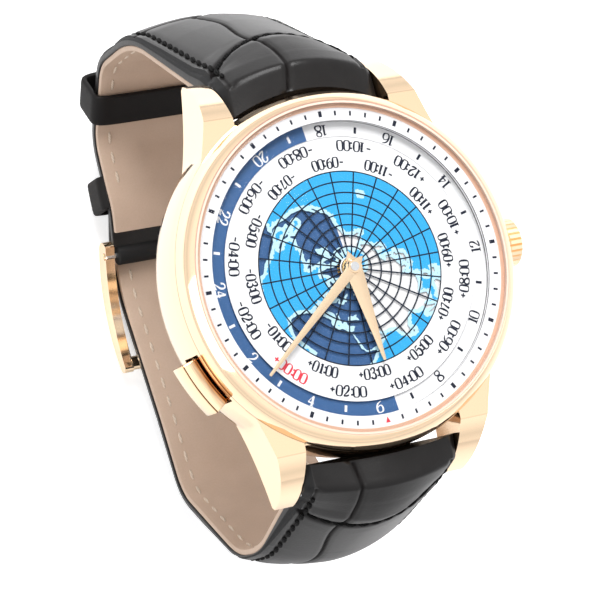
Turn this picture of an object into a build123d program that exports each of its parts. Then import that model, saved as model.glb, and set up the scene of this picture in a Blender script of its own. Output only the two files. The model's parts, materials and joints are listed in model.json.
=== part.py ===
# World time wristwatch: a round case on a closed leather strap.
# Millimetres. The origin is the centre of the case back's outer face, on the dial's axis.
# +Z points out through the dial, +X to 3 o'clock and the crown, +Y to 12 o'clock.

import math
import os

from build123d import *

os.makedirs("parts", exist_ok=True)

# Case
CASE_R = 20.5
CAVITY_R = 17.9
CASE_BOTTOM = 1.2
BEZEL_SEAT = 8.2
BEZEL_R = 20.15
BEZEL_LEDGE = 10.0
BEZEL_TOP = 10.65
CRYSTAL_R = 18.35
GASKET_R = 18.6
CRYSTAL_EDGE = 10.7
CRYSTAL_APEX = 12.1
CRYSTAL_UNDER = 10.45

# Lugs
LUG_INNER_X = 9.5
LUG_TIP_Y = 24.2
SPRING_BAR_Y = 22.5
SPRING_BAR_Z = 3.1
SPRING_BAR_R = 0.85

# Crown and pusher
CROWN_Z = 5.0
CROWN_R = 2.8
CROWN_START = 20.6
CROWN_END = 22.5
CROWN_FLUTES = 26
PUSHER_ANGLE = 206.5
PUSHER_Z = 6.0
PUSHER_WIDTH = 6.1
PUSHER_HEIGHT = 3.4
PUSHER_FACE = 22.4

# Dial stack
DIAL_TOP = 9.9
DIAL_R = 17.9
FLANGE_R = 16.5
DAY_NIGHT_TOP = 8.9
WORLD_DISC_R = 14.8
WORLD_DISC_TOP = 9.45
HOUR_HAND_TOP = 9.85
MINUTE_HAND_TOP = 10.15
HOUR_HAND_LENGTH = 10.8
MINUTE_HAND_LENGTH = 16.0
HOUR_HAND_ANGLE = 172.9
MINUTE_HAND_ANGLE = 231.3

# Movement
MOVEMENT_R = 13.4
PLATE_TOP = 7.4
PLATE_UNDER = 5.9
BRIDGE_TOP = 4.3
BRIDGE_UNDER = 3.3
BACK_GLASS_R = 13.7

# Strap
STRAP_HALF_WIDTH = 9.3
LINING = 0.7
STRAP_THICK = 2.0
BUCKLE_BAR_Y = 12.0
BUCKLE_BAR_Z = -42.55
BUCKLE_BAR_R = 0.45
FOLD_R = 1.35
CROSSBAR_Y = -1.9
CROSSBAR_Z = -44.7
CROSSBAR_R = 0.9
ARM_INNER_X = 9.15
ARM_OUTER_X = 10.35


def polar(radius, degrees):
    """A point on a circle, counter-clockwise from +X."""
    angle = math.radians(degrees)
    return radius * math.cos(angle), radius * math.sin(angle)


def toothed(teeth, module):
    """The outline of a wheel: straight-sided teeth, two corners to a tooth."""
    pitch = teeth * module / 2
    corners = []
    for i in range(teeth):
        corners.append(polar(pitch + 0.85 * module, 360 * i / teeth))
        corners.append(polar(pitch - 1.05 * module, 360 * (i + 0.5) / teeth))
    return corners


def offset_path(points, gaps, side):
    """Corner points of a path moved off it by a gap at each: side 1 is left, -1 is right."""
    moved = []
    last = len(points) - 1
    for i, gap in enumerate(gaps):
        before = Vector(*points[max(i - 1, 0)])
        here = Vector(*points[i])
        after = Vector(*points[min(i + 1, last)])
        into = (here - before if i else after - here).normalized()
        out = (after - here if i < last else here - before).normalized()
        bisector = (into + out).normalized()
        reach = side * gap / math.cos(math.radians(into.get_angle(out) / 2))
        moved.append((here.X - bisector.Y * reach, here.Y + bisector.X * reach))
    return moved


def band(inner, outer, inner_radii, outer_radii):
    """A strap's side view between two paths of straights joined by arcs."""
    with BuildSketch() as side:
        with BuildLine():
            a = FilletPolyline(*inner, radius=inner_radii)
            b = FilletPolyline(*outer, radius=outer_radii)
            Line(a @ 0, b @ 0)
            Line(a @ 1, b @ 1)
        make_face()
    return side.sketch


def ring(outer, inner, low, high):
    """A plain ring about the dial's axis, or a disc where the inner radius is 0."""
    with BuildPart() as made:
        with BuildSketch(Plane.XY.offset(low)):
            Circle(outer)
            if inner:
                Circle(inner, mode=Mode.SUBTRACT)
        extrude(amount=high - low)
    return made.part


# One lug: its side view meets its plan view. The crease sits where the flat top turns down.
with BuildPart() as lug:
    with BuildSketch(Plane.YZ.offset(LUG_INNER_X)) as lug_side:
        with BuildLine():
            Polyline((23.9, 0.45), (18.0, 1.3), (12.5, 1.9), (12.5, 8.35), (18.7, 8.1))
            ThreePointArc((18.7, 8.1), (22.25, 4.95), (LUG_TIP_Y, 0.9))
            Line((LUG_TIP_Y, 0.9), (23.9, 0.45))
        make_face()
    extrude(amount=6)
    with BuildSketch(Plane.XY) as lug_plan:
        with BuildLine():
            Line((LUG_INNER_X, 12.0), (LUG_INNER_X, 25.0))
            Line((LUG_INNER_X, 25.0), (11.6, 25.0))
            Spline((11.6, 25.0), (12.3, 21.5), (13.45, 17.0), (15.2, 12.0))
            Line((15.2, 12.0), (LUG_INNER_X, 12.0))
        make_face()
    extrude(amount=9, mode=Mode.INTERSECT)

# Mid-case: the band with four lugs, bored for the crown tube, the pusher and the spring bars.
with BuildPart() as mid_case:
    with BuildSketch(Plane.XZ) as band_profile:
        with BuildLine():
            Polyline((19.0, BEZEL_SEAT), (17.0, BEZEL_SEAT), (17.0, CASE_BOTTOM), (19.7, CASE_BOTTOM))
            Line((19.7, CASE_BOTTOM), (20.35, 2.3))
            ThreePointArc((20.35, 2.3), (CASE_R, 5.0), (20.35, 7.6))
            Polyline((20.35, 7.6), (20.1, BEZEL_SEAT), (19.0, BEZEL_SEAT))
        make_face()
    revolve(axis=Axis.Z)
    add(lug.part)
    add(mirror(lug.part, about=Plane.YZ))
    add(mirror(lug.part, about=Plane.XZ))
    add(mirror(mirror(lug.part, about=Plane.XZ), about=Plane.YZ))
    with BuildSketch(Plane.XY.offset(CASE_BOTTOM)) as cavity:
        Circle(CAVITY_R)
    extrude(amount=BEZEL_SEAT, mode=Mode.SUBTRACT)
    with BuildSketch(Plane.XY.offset(BEZEL_SEAT)) as bezel_seat:
        Circle(BEZEL_R + 0.02)
    extrude(amount=1, mode=Mode.SUBTRACT)
    with BuildSketch(Plane.YZ) as bar_holes:
        with Locations((SPRING_BAR_Y, SPRING_BAR_Z), (-SPRING_BAR_Y, SPRING_BAR_Z)):
            Circle(0.45)
    extrude(amount=LUG_INNER_X + 1.2, both=True, mode=Mode.SUBTRACT)
    with BuildSketch(Plane.YZ.offset(15)) as tube_hole:
        with Locations((0, CROWN_Z)):
            Circle(1.2)
    extrude(amount=7, mode=Mode.SUBTRACT)
    with BuildSketch(Plane.YZ.offset(20.2)) as crown_seat:
        with Locations((0, CROWN_Z)):
            Circle(CROWN_R + 0.15)
    extrude(amount=3, mode=Mode.SUBTRACT)
    pusher_plane = Plane(
        origin=(0, 0, PUSHER_Z), x_dir=polar(1, PUSHER_ANGLE + 90) + (0,), z_dir=polar(1, PUSHER_ANGLE) + (0,)
    )
    with BuildSketch(pusher_plane.offset(19.1)) as pusher_pocket:
        Rectangle(PUSHER_WIDTH + 0.2, PUSHER_HEIGHT + 0.2)
    extrude(amount=4, mode=Mode.SUBTRACT)
    with BuildSketch(pusher_plane.offset(15)) as pusher_bore:
        Circle(0.85)
    extrude(amount=5, mode=Mode.SUBTRACT)
mid_case.part.label = "mid_case"
export_step(mid_case.part, "parts/mid_case.step")

# Bezel: a convex polished ring that holds the crystal.
with BuildPart() as bezel:
    with BuildSketch(Plane.XZ) as bezel_profile:
        with BuildLine():
            Polyline((18.72, BEZEL_TOP), (GASKET_R, 10.55), (GASKET_R, BEZEL_LEDGE), (CAVITY_R, BEZEL_LEDGE))
            Polyline((CAVITY_R, BEZEL_LEDGE), (CAVITY_R, BEZEL_SEAT), (BEZEL_R, BEZEL_SEAT), (BEZEL_R, 8.5))
            ThreePointArc((BEZEL_R, 8.5), (19.62, 9.72), (18.72, BEZEL_TOP))
        make_face()
    revolve(axis=Axis.Z)
bezel.part.label = "bezel"
export_step(bezel.part, "parts/bezel.step")

# Crystal: domed sapphire with a bevelled foot.
with BuildPart() as crystal:
    with BuildSketch(Plane.XZ) as crystal_profile:
        with BuildLine():
            ThreePointArc((0, CRYSTAL_APEX), (9.2, 11.75), (CRYSTAL_R - 0.25, CRYSTAL_EDGE + 0.05))
            Polyline(
                (CRYSTAL_R - 0.25, CRYSTAL_EDGE + 0.05),
                (CRYSTAL_R, CRYSTAL_EDGE - 0.15),
                (CRYSTAL_R, BEZEL_LEDGE),
                (CAVITY_R, BEZEL_LEDGE),
                (17.4, CRYSTAL_UNDER),
                (0, CRYSTAL_UNDER),
                (0, CRYSTAL_APEX),
            )
        make_face()
    revolve(axis=Axis.Z)
crystal.part.label = "crystal"
export_step(crystal.part, "parts/crystal.step")

# Crystal gasket: a nylon ring squeezed between bezel and crystal.
with BuildPart() as crystal_gasket:
    add(ring(GASKET_R, CRYSTAL_R, BEZEL_LEDGE, 10.5))
crystal_gasket.part.label = "crystal_gasket"
export_step(crystal_gasket.part, "parts/crystal_gasket.step")

# Flange: the ring that carries the minute track, above the edge of the day and night disc.
with BuildPart() as flange_ring:
    add(ring(DIAL_R, FLANGE_R, 9.0, DIAL_TOP))
flange_ring.part.label = "flange_ring"
export_step(flange_ring.part, "parts/flange_ring.step")

# Dial plate: a brass floor under the discs, with a rim that the flange stands on.
with BuildPart() as dial_plate:
    with BuildSketch(Plane.XZ) as dial_profile:
        with BuildLine():
            Polyline(
                (1.75, 8.25), (DIAL_R, 8.25), (DIAL_R, 9.0), (17.4, 9.0), (17.4, 8.5), (1.75, 8.5), close=True
            )
        make_face()
    revolve(axis=Axis.Z)
dial_plate.part.label = "dial_plate"
export_step(dial_plate.part, "parts/dial_plate.step")

# Day and night disc: turns once a day under the map and carries the 24 hours.
with BuildPart() as day_night_disc:
    with BuildSketch(Plane.XY.offset(DAY_NIGHT_TOP - 0.25)) as disc_plan:
        Circle(17.2)
        Circle(1.6, mode=Mode.SUBTRACT)
    extrude(amount=0.25)
day_night_disc.part.label = "day_night_disc"
export_step(day_night_disc.part, "parts/day_night_disc.step")

# World disc: a clear disc with the map and the ring of zones, on a short pipe.
with BuildPart() as world_disc:
    with BuildSketch(Plane.XY.offset(9.1)) as world_plan:
        Circle(WORLD_DISC_R)
        Circle(1.2, mode=Mode.SUBTRACT)
    extrude(amount=WORLD_DISC_TOP - 9.1)
    with BuildSketch(Plane.XY.offset(8.05)) as world_pipe:
        Circle(1.55)
        Circle(1.2, mode=Mode.SUBTRACT)
    extrude(amount=1.05)
world_disc.part.label = "world_disc"
export_step(world_disc.part, "parts/world_disc.step")


def hand(length, tail, half_width, tip, top, thickness, hub, bore):
    """A faceted dauphine hand along +Y, ridged along its middle, on a round hub."""
    low = top - thickness
    with BuildPart() as blade:
        with BuildSketch(Plane.XY.offset(low)) as plan:
            with BuildLine():
                Polyline(
                    (0, -tail), (half_width, 0), (tip, length), (-tip, length), (-half_width, 0), close=True
                )
            make_face()
        extrude(amount=thickness)
        for side in (1, -1):
            with BuildSketch(Plane.XZ.offset(-length - 1)) as facet:
                with BuildLine():
                    Polyline(
                        (0.02 * side, top), (1.5 * side, top), (1.5 * side, top - thickness), close=True
                    )
                make_face()
            extrude(amount=length + tail + 2, mode=Mode.SUBTRACT)
        with BuildSketch(Plane.XY.offset(low)) as boss:
            Circle(hub)
        extrude(amount=thickness)
        with BuildSketch(Plane.XY.offset(low)) as hole:
            Circle(bore)
        extrude(amount=thickness, mode=Mode.SUBTRACT)
    return blade.part


# Hands: the minute hand over the hour hand, each pressed on its own pipe.
with BuildPart() as hour_hand:
    add(
        hand(HOUR_HAND_LENGTH, 1.9, 1.0, 0.12, HOUR_HAND_TOP, 0.25, 1.15, 0.9).rotate(
            Axis.Z, -HOUR_HAND_ANGLE
        )
    )
hour_hand.part.label = "hour_hand"
export_step(hour_hand.part, "parts/hour_hand.step")

with BuildPart() as minute_hand:
    add(
        hand(MINUTE_HAND_LENGTH, 1.6, 0.62, 0.14, MINUTE_HAND_TOP, 0.2, 0.85, 0.4).rotate(
            Axis.Z, -MINUTE_HAND_ANGLE
        )
    )
minute_hand.part.label = "minute_hand"
export_step(minute_hand.part, "parts/minute_hand.step")

# Motion work: the cannon pinion turns the minute wheel, whose pinion turns the hour wheel.
MOTION_MODULE = 0.15
HOUR_MODULE = 0.12
MINUTE_WHEEL_X = 3.6
with BuildPart() as cannon_pinion:
    with BuildSketch(Plane.XY.offset(7.0)) as cannon_pipe:
        Circle(0.5)
    extrude(amount=MINUTE_HAND_TOP + 0.12 - 7.0)
    with BuildSketch(Plane.XY.offset(MINUTE_HAND_TOP - 0.2)) as cannon_step:
        Circle(0.7)
        Circle(0.4, mode=Mode.SUBTRACT)
    extrude(amount=0.2, mode=Mode.SUBTRACT)
    with BuildSketch(Plane.XY.offset(7.5)) as cannon_teeth:
        Polygon(*toothed(12, MOTION_MODULE), align=None)
    extrude(amount=0.25)
cannon_pinion.part.label = "cannon_pinion"
export_step(cannon_pinion.part, "parts/cannon_pinion.step")

with BuildPart() as hour_wheel:
    with BuildSketch(Plane.XY.offset(7.8)) as hour_teeth:
        Polygon(*toothed(48, HOUR_MODULE), align=None)
        Circle(0.55, mode=Mode.SUBTRACT)
    extrude(amount=0.2)
    with BuildSketch(Plane.XY.offset(8.0)) as hour_pipe:
        Circle(1.15)
        Circle(0.55, mode=Mode.SUBTRACT)
    extrude(amount=HOUR_HAND_TOP - 0.25 - 8.0)
    with BuildSketch(Plane.XY.offset(HOUR_HAND_TOP - 0.25)) as hour_neck:
        Circle(0.9)
        Circle(0.55, mode=Mode.SUBTRACT)
    extrude(amount=0.25)
hour_wheel.part.label = "hour_wheel"
export_step(hour_wheel.part, "parts/hour_wheel.step")

with BuildPart() as minute_wheel:
    with BuildSketch(Plane.XY.offset(7.5)) as minute_teeth:
        with Locations((MINUTE_WHEEL_X, 0)):
            Polygon(*toothed(36, MOTION_MODULE), rotation=5, align=None)
    extrude(amount=0.2)
    with BuildSketch(Plane.XY.offset(7.45)) as minute_pinion:
        with Locations((MINUTE_WHEEL_X, 0)):
            Polygon(*toothed(12, HOUR_MODULE), rotation=15, align=None)
    extrude(amount=0.55)
    with BuildSketch(Plane.XY.offset(7.45)) as minute_bore:
        with Locations((MINUTE_WHEEL_X, 0)):
            Circle(0.3)
    extrude(amount=0.55, mode=Mode.SUBTRACT)
minute_wheel.part.label = "minute_wheel"
export_step(minute_wheel.part, "parts/minute_wheel.step")

# Train, seen through the back. Each wheel is at its own level; pinions drive the next one.
BARREL = polar(5.4, 135)
THIRD = polar(3.36, -60)
FOURTH = (THIRD[0] - 2.91, THIRD[1] - 1.68)
ESCAPE = (FOURTH[0] + polar(3.36, 202.5)[0], FOURTH[1] + polar(3.36, 202.5)[1])
FORK = (ESCAPE[0] - 2.13, ESCAPE[1] + 0.57)
BALANCE = (-8.6, -3.6)
TRAIN_MODULE = 0.12
CROWN_WHEEL = (BARREL[0] + polar(5.42, 8.18)[0], BARREL[1] + polar(5.42, 8.18)[1])


def wheel(place, low, pinion, pinion_turn, pinion_low, arbor_top=5.85):
    """A spoked wheel with its arbor and the pinion that the wheel before it drives."""
    rim = 24 * TRAIN_MODULE
    with BuildPart() as made:
        with BuildSketch(Plane.XY.offset(low)):
            Polygon(*toothed(48, TRAIN_MODULE), align=None)
            Circle(rim - 3.5 * TRAIN_MODULE, mode=Mode.SUBTRACT)
            Circle(0.5)
            Rectangle(2 * rim - 0.5, 0.3)
            Rectangle(0.3, 2 * rim - 0.5)
        extrude(amount=0.15)
        with BuildSketch(Plane.XY.offset(pinion_low)):
            Polygon(*toothed(pinion, TRAIN_MODULE), rotation=pinion_turn, align=None)
        extrude(amount=0.3)
        with BuildSketch(Plane.XY.offset(4.35)):
            Circle(0.22)
        extrude(amount=arbor_top - 4.35)
    return Pos(place[0], place[1], 0) * made.part


# Mainplate: carries the motion work on its dial side and the train on the other.
with BuildPart() as mainplate:
    add(ring(MOVEMENT_R, 0.55, PLATE_UNDER, PLATE_TOP))
    with BuildSketch(Plane.XY.offset(PLATE_TOP)) as minute_wheel_post:
        with Locations((MINUTE_WHEEL_X, 0)):
            Circle(0.27)
    extrude(amount=0.55)
mainplate.part.label = "mainplate"
export_step(mainplate.part, "parts/mainplate.step")

# Movement ring: fills the case around the movement, drilled for the stem and the pusher.
with BuildPart() as movement_ring:
    add(ring(CAVITY_R, MOVEMENT_R, 2.4, 8.25))
    with BuildSketch(Plane.YZ) as stem_hole:
        with Locations((0, CROWN_Z)):
            Circle(0.8)
    extrude(amount=20, mode=Mode.SUBTRACT)
    with BuildSketch(pusher_plane.offset(12)) as push_hole:
        Circle(0.9)
    extrude(amount=7, mode=Mode.SUBTRACT)
movement_ring.part.label = "movement_ring"
export_step(movement_ring.part, "parts/movement_ring.step")

# Barrel: the drum of the mainspring, toothed round its upper edge.
with BuildPart() as barrel:
    with BuildSketch(Plane.XY.offset(4.7)) as drum:
        with Locations(BARREL):
            Circle(4.4)
    extrude(amount=0.8)
    with BuildSketch(Plane.XY.offset(4.45)) as barrel_teeth:
        with Locations(BARREL):
            Polygon(*toothed(80, TRAIN_MODULE), align=None)
    extrude(amount=0.25)
barrel.part.label = "barrel"
export_step(barrel.part, "parts/barrel.step")

with BuildPart() as centre_wheel:
    add(wheel((0, 0), 5.6, 10, 9, 4.45, 6.6))
centre_wheel.part.label = "centre_wheel"
export_step(centre_wheel.part, "parts/centre_wheel.step")

with BuildPart() as third_wheel:
    add(wheel(THIRD, 4.95, 8, 7.5, 5.5))
third_wheel.part.label = "third_wheel"
export_step(third_wheel.part, "parts/third_wheel.step")

with BuildPart() as fourth_wheel:
    add(wheel(FOURTH, 5.25, 8, 7.5, 4.9))
fourth_wheel.part.label = "fourth_wheel"
export_step(fourth_wheel.part, "parts/fourth_wheel.step")

# Escapement: escape wheel, pallet fork with its two stones, balance and hairspring.
with BuildPart() as escape_wheel:
    with BuildSketch(Plane.XY.offset(4.7)) as escape_rim:
        with Locations(ESCAPE):
            Polygon(*toothed(15, 0.2), align=None)
            Circle(1.1, mode=Mode.SUBTRACT)
            Circle(0.35)
            Rectangle(2.3, 0.25)
            Rectangle(0.25, 2.3)
    extrude(amount=0.15)
    with BuildSketch(Plane.XY.offset(5.15)) as escape_pinion:
        with Locations(ESCAPE):
            Polygon(*toothed(8, TRAIN_MODULE), align=None)
    extrude(amount=0.3)
    with BuildSketch(Plane.XY.offset(4.35)) as escape_arbor:
        with Locations(ESCAPE):
            Circle(0.18)
    extrude(amount=1.5)
escape_wheel.part.label = "escape_wheel"
export_step(escape_wheel.part, "parts/escape_wheel.step")

FORK_AIM = math.degrees(math.atan2(BALANCE[1] - FORK[1], BALANCE[0] - FORK[0]))
with BuildPart() as pallet_fork:
    with BuildSketch(Plane.XY.offset(4.7)) as fork_plan:
        with Locations(FORK):
            with Locations(Rotation(0, 0, FORK_AIM)):
                Circle(0.3)
                with Locations((0.95, 0)):
                    Rectangle(1.9, 0.28)
                with Locations((-0.1, 0)):
                    Rectangle(0.3, 2.3)
                with Locations((1.95, 0.2), (1.95, -0.2)):
                    Rectangle(0.5, 0.14)
                with Locations((1.75, 0)):
                    Rectangle(0.2, 0.5)
    extrude(amount=0.15)
    with BuildSketch(Plane.XY.offset(4.35)) as fork_arbor:
        with Locations(FORK):
            Circle(0.15)
    extrude(amount=0.55)
pallet_fork.part.label = "pallet_fork"
export_step(pallet_fork.part, "parts/pallet_fork.step")

with BuildPart() as balance_wheel:
    with BuildSketch(Plane.XY.offset(4.95)) as balance_rim:
        with Locations(BALANCE):
            Circle(3.4)
            Circle(3.0, mode=Mode.SUBTRACT)
            Rectangle(6.2, 0.4)
            Circle(0.5)
    extrude(amount=0.3)
    with BuildSketch(Plane.XY.offset(4.35)) as balance_staff:
        with Locations(BALANCE):
            Circle(0.2)
    extrude(amount=1.5)
balance_wheel.part.label = "balance_wheel"
export_step(balance_wheel.part, "parts/balance_wheel.step")

# Hairspring: a flat spiral from beside the staff to a stud on the cock.
COILS = 4
COIL_POINTS = 20
coil_steps = range(COILS * COIL_POINTS + 1)
coil = [polar(0.4 + 1.4 * i / (COILS * COIL_POINTS), 360 * i / COIL_POINTS) for i in coil_steps]
coil_back = [polar(math.hypot(x, y) + 0.07, math.degrees(math.atan2(y, x))) for x, y in reversed(coil)]
with BuildPart() as hairspring:
    with BuildSketch(Plane.XY.offset(4.4)) as coil_plan:
        with Locations(BALANCE):
            Polygon(*coil, *coil_back, align=None)
    extrude(amount=0.12)
    with BuildSketch(Plane.XY.offset(4.3)) as stud:
        with Locations((BALANCE[0] + 1.83, BALANCE[1])):
            Rectangle(0.3, 0.3)
    extrude(amount=0.22)
hairspring.part.label = "hairspring"
export_step(hairspring.part, "parts/hairspring.step")


def bridge(outline, foot_from, foot_to, foot_inner=12.3):
    """A flat bridge cut from a disc by an outline, standing on a foot along the rim."""
    with BuildPart() as made:
        with BuildSketch(Plane.XY.offset(BRIDGE_UNDER)):
            Circle(MOVEMENT_R - 0.1)
            Polygon(*outline, align=None, mode=Mode.INTERSECT)
        extrude(amount=BRIDGE_TOP - BRIDGE_UNDER)
        with BuildSketch(Plane.XY.offset(BRIDGE_TOP)):
            Circle(MOVEMENT_R - 0.1)
            Circle(foot_inner, mode=Mode.SUBTRACT)
            Polygon((0, 0), polar(20, foot_from), polar(20, (foot_from + foot_to) / 2), polar(20, foot_to),
                    align=None, mode=Mode.INTERSECT)
        extrude(amount=PLATE_UNDER - BRIDGE_TOP)
    return made.part


# Bridges over barrel and train, and the cock over the balance, with jewels and screws.
COCK_FOOT = (-9.0, -8.2)
SCREWS = [polar(11.7, 62), polar(11.7, 150), polar(11.7, -28), polar(11.7, -85), COCK_FOOT, polar(6.4, 20)]

with BuildPart() as barrel_bridge:
    add(bridge([(-14, -1.4), (14, -1.4), (14, 14), (-14, 14)], 40, 150))
    with BuildSketch(Plane.XY.offset(BRIDGE_UNDER)) as barrel_holes:
        with Locations(SCREWS[0], SCREWS[1], SCREWS[5]):
            Circle(0.65)
    extrude(amount=0.4, mode=Mode.SUBTRACT)
barrel_bridge.part.label = "barrel_bridge"
export_step(barrel_bridge.part, "parts/barrel_bridge.step")

with BuildPart() as train_bridge:
    add(bridge([(-5.3, -1.52), (14, -1.52), (14, -14), (-3.0, -14), (-5.3, -7.5)], -95, -20))
    with BuildSketch(Plane.XY.offset(BRIDGE_UNDER)) as train_holes:
        with Locations(THIRD, FOURTH, ESCAPE):
            Circle(0.4)
        with Locations(SCREWS[2], SCREWS[3]):
            Circle(0.65)
    extrude(amount=0.4, mode=Mode.SUBTRACT)
train_bridge.part.label = "train_bridge"
export_step(train_bridge.part, "parts/train_bridge.step")

with BuildPart() as balance_cock:
    with BuildSketch(Plane.XY.offset(BRIDGE_UNDER)) as cock_plan:
        with Locations(BALANCE):
            Circle(1.5)
        with Locations(COCK_FOOT):
            Circle(1.2)
        Polygon((-9.9, -3.6), (-7.3, -3.6), (-7.9, -8.2), (-10.1, -8.1), align=None)
    extrude(amount=BRIDGE_TOP - BRIDGE_UNDER)
    with BuildSketch(Plane.XY.offset(BRIDGE_TOP)) as cock_foot:
        with Locations(COCK_FOOT):
            Circle(1.0)
    extrude(amount=PLATE_UNDER - BRIDGE_TOP)
    with BuildSketch(Plane.XY.offset(BRIDGE_UNDER)) as cock_holes:
        with Locations(BALANCE):
            Circle(0.4)
        with Locations(SCREWS[4]):
            Circle(0.65)
    extrude(amount=0.4, mode=Mode.SUBTRACT)
balance_cock.part.label = "balance_cock"
export_step(balance_cock.part, "parts/balance_cock.step")

with BuildPart() as jewels:
    with BuildSketch(Plane.XY.offset(BRIDGE_UNDER + 0.05)) as jewel_plan:
        with Locations(THIRD, FOURTH, ESCAPE, BALANCE):
            Circle(0.4)
    extrude(amount=0.35)
jewels.part.label = "jewels"
export_step(jewels.part, "parts/jewels.step")

with BuildPart() as bridge_screws:
    with BuildSketch(Plane.XY.offset(BRIDGE_UNDER + 0.05)) as head_plan:
        with Locations(*SCREWS):
            Circle(0.65)
            Rectangle(1.4, 0.2, mode=Mode.SUBTRACT)
    extrude(amount=0.15)
    with BuildSketch(Plane.XY.offset(BRIDGE_UNDER + 0.2)) as head_floor:
        with Locations(*SCREWS):
            Circle(0.65)
    extrude(amount=0.2)
bridge_screws.part.label = "bridge_screws"
export_step(bridge_screws.part, "parts/bridge_screws.step")

# Winding work on the barrel bridge: the crown wheel turns the ratchet wheel, held by the click.
with BuildPart() as ratchet_wheel:
    with BuildSketch(Plane.XY.offset(3.0)) as ratchet_plan:
        with Locations(BARREL):
            Polygon(*toothed(44, 0.15), align=None)
    extrude(amount=0.28)
ratchet_wheel.part.label = "ratchet_wheel"
export_step(ratchet_wheel.part, "parts/ratchet_wheel.step")

with BuildPart() as crown_wheel:
    with BuildSketch(Plane.XY.offset(3.0)) as crown_wheel_plan:
        with Locations(CROWN_WHEEL):
            Polygon(*toothed(28, 0.15), rotation=1.75, align=None)
            Circle(0.8, mode=Mode.SUBTRACT)
    extrude(amount=0.28)
crown_wheel.part.label = "crown_wheel"
export_step(crown_wheel.part, "parts/crown_wheel.step")

with BuildPart() as winding_boss:
    with BuildSketch(Plane.XY.offset(2.95)) as boss_plan:
        with Locations(CROWN_WHEEL):
            Circle(0.75)
    extrude(amount=0.35)
    with BuildSketch(Plane.XY.offset(3.0)) as click_plan:
        with Locations((BARREL[0] - 3.3, BARREL[1] + 2.9)):
            Rectangle(0.7, 1.6, rotation=40)
    extrude(amount=0.3)
winding_boss.part.label = "click_and_boss"
export_step(winding_boss.part, "parts/click_and_boss.step")

# Rotor: a half ring of heavy metal on a thin web, swinging on a bearing at the centre.
with BuildPart() as rotor_bearing:
    add(ring(1.5, 0, 2.75, BRIDGE_UNDER))
    add(ring(0.95, 0, 1.75, 2.75))
rotor_bearing.part.label = "rotor_bearing"
export_step(rotor_bearing.part, "parts/rotor_bearing.step")

with BuildPart() as rotor:
    with BuildSketch(Plane.XY.offset(1.8)) as rotor_web:
        Circle(12.7)
        with Locations((0, 7)):
            Rectangle(26, 14, mode=Mode.SUBTRACT)
        Circle(2.4)
        Circle(1.0, mode=Mode.SUBTRACT)
        with Locations(polar(6.6, -45), polar(6.6, -135)):
            Circle(2.3, mode=Mode.SUBTRACT)
    extrude(amount=0.35)
    with BuildSketch(Plane.XY.offset(2.15)) as rotor_rim:
        Circle(12.7)
        Circle(10.4, mode=Mode.SUBTRACT)
        with Locations((0, 7)):
            Rectangle(26, 14, mode=Mode.SUBTRACT)
    extrude(amount=0.75)
rotor.part.label = "rotor"
export_step(rotor.part, "parts/rotor.step")

# Case back: a screwed ring with a lip and a window, flush with the wrist side.
SCREW_CIRCLE = 18.45
back_screws = [polar(SCREW_CIRCLE, 60 * i) for i in range(6)]
with BuildPart() as case_back:
    with BuildSketch(Plane.XZ) as back_profile:
        with BuildLine():
            Polyline(
                (BACK_GLASS_R, 0),
                (19.3, 0),
                (19.6, 0.3),
                (19.6, CASE_BOTTOM),
                (17.3, CASE_BOTTOM),
                (17.3, 2.2),
                (16.8, 2.2),
                (16.8, CASE_BOTTOM),
                (13.1, CASE_BOTTOM),
                (13.1, 0.9),
                (BACK_GLASS_R, 0.9),
                close=True,
            )
        make_face()
    revolve(axis=Axis.Z)
    with BuildSketch(Plane.XY) as back_holes:
        with Locations(*back_screws):
            Circle(0.6)
    extrude(amount=CASE_BOTTOM, mode=Mode.SUBTRACT)
case_back.part.label = "case_back"
export_step(case_back.part, "parts/case_back.step")

with BuildPart() as back_crystal:
    add(ring(BACK_GLASS_R, 0, 0, 0.9))
back_crystal.part.label = "back_crystal"
export_step(back_crystal.part, "parts/back_crystal.step")

with BuildPart() as back_gasket:
    add(ring(CAVITY_R, 17.3, CASE_BOTTOM, 1.9))
back_gasket.part.label = "back_gasket"
export_step(back_gasket.part, "parts/back_gasket.step")

with BuildPart() as back_screw_set:
    with BuildSketch(Plane.XY.offset(0.05)) as back_head_slots:
        with Locations(*back_screws):
            Circle(0.6)
            Rectangle(1.3, 0.2, mode=Mode.SUBTRACT)
    extrude(amount=0.2)
    with BuildSketch(Plane.XY.offset(0.25)) as back_heads:
        with Locations(*back_screws):
            Circle(0.6)
    extrude(amount=CASE_BOTTOM - 0.25)
back_screw_set.part.label = "case_back_screws"
export_step(back_screw_set.part, "parts/case_back_screws.step")

# Crown: fluted, bevelled at both ends, hollow over the tube that is pressed into the case.
with BuildPart() as crown_tube:
    with BuildSketch(Plane.YZ.offset(18)) as tube_plan:
        with Locations((0, CROWN_Z)):
            Circle(1.2)
            Circle(0.75, mode=Mode.SUBTRACT)
    extrude(amount=3.2)
crown_tube.part.label = "crown_tube"
export_step(crown_tube.part, "parts/crown_tube.step")

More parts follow.
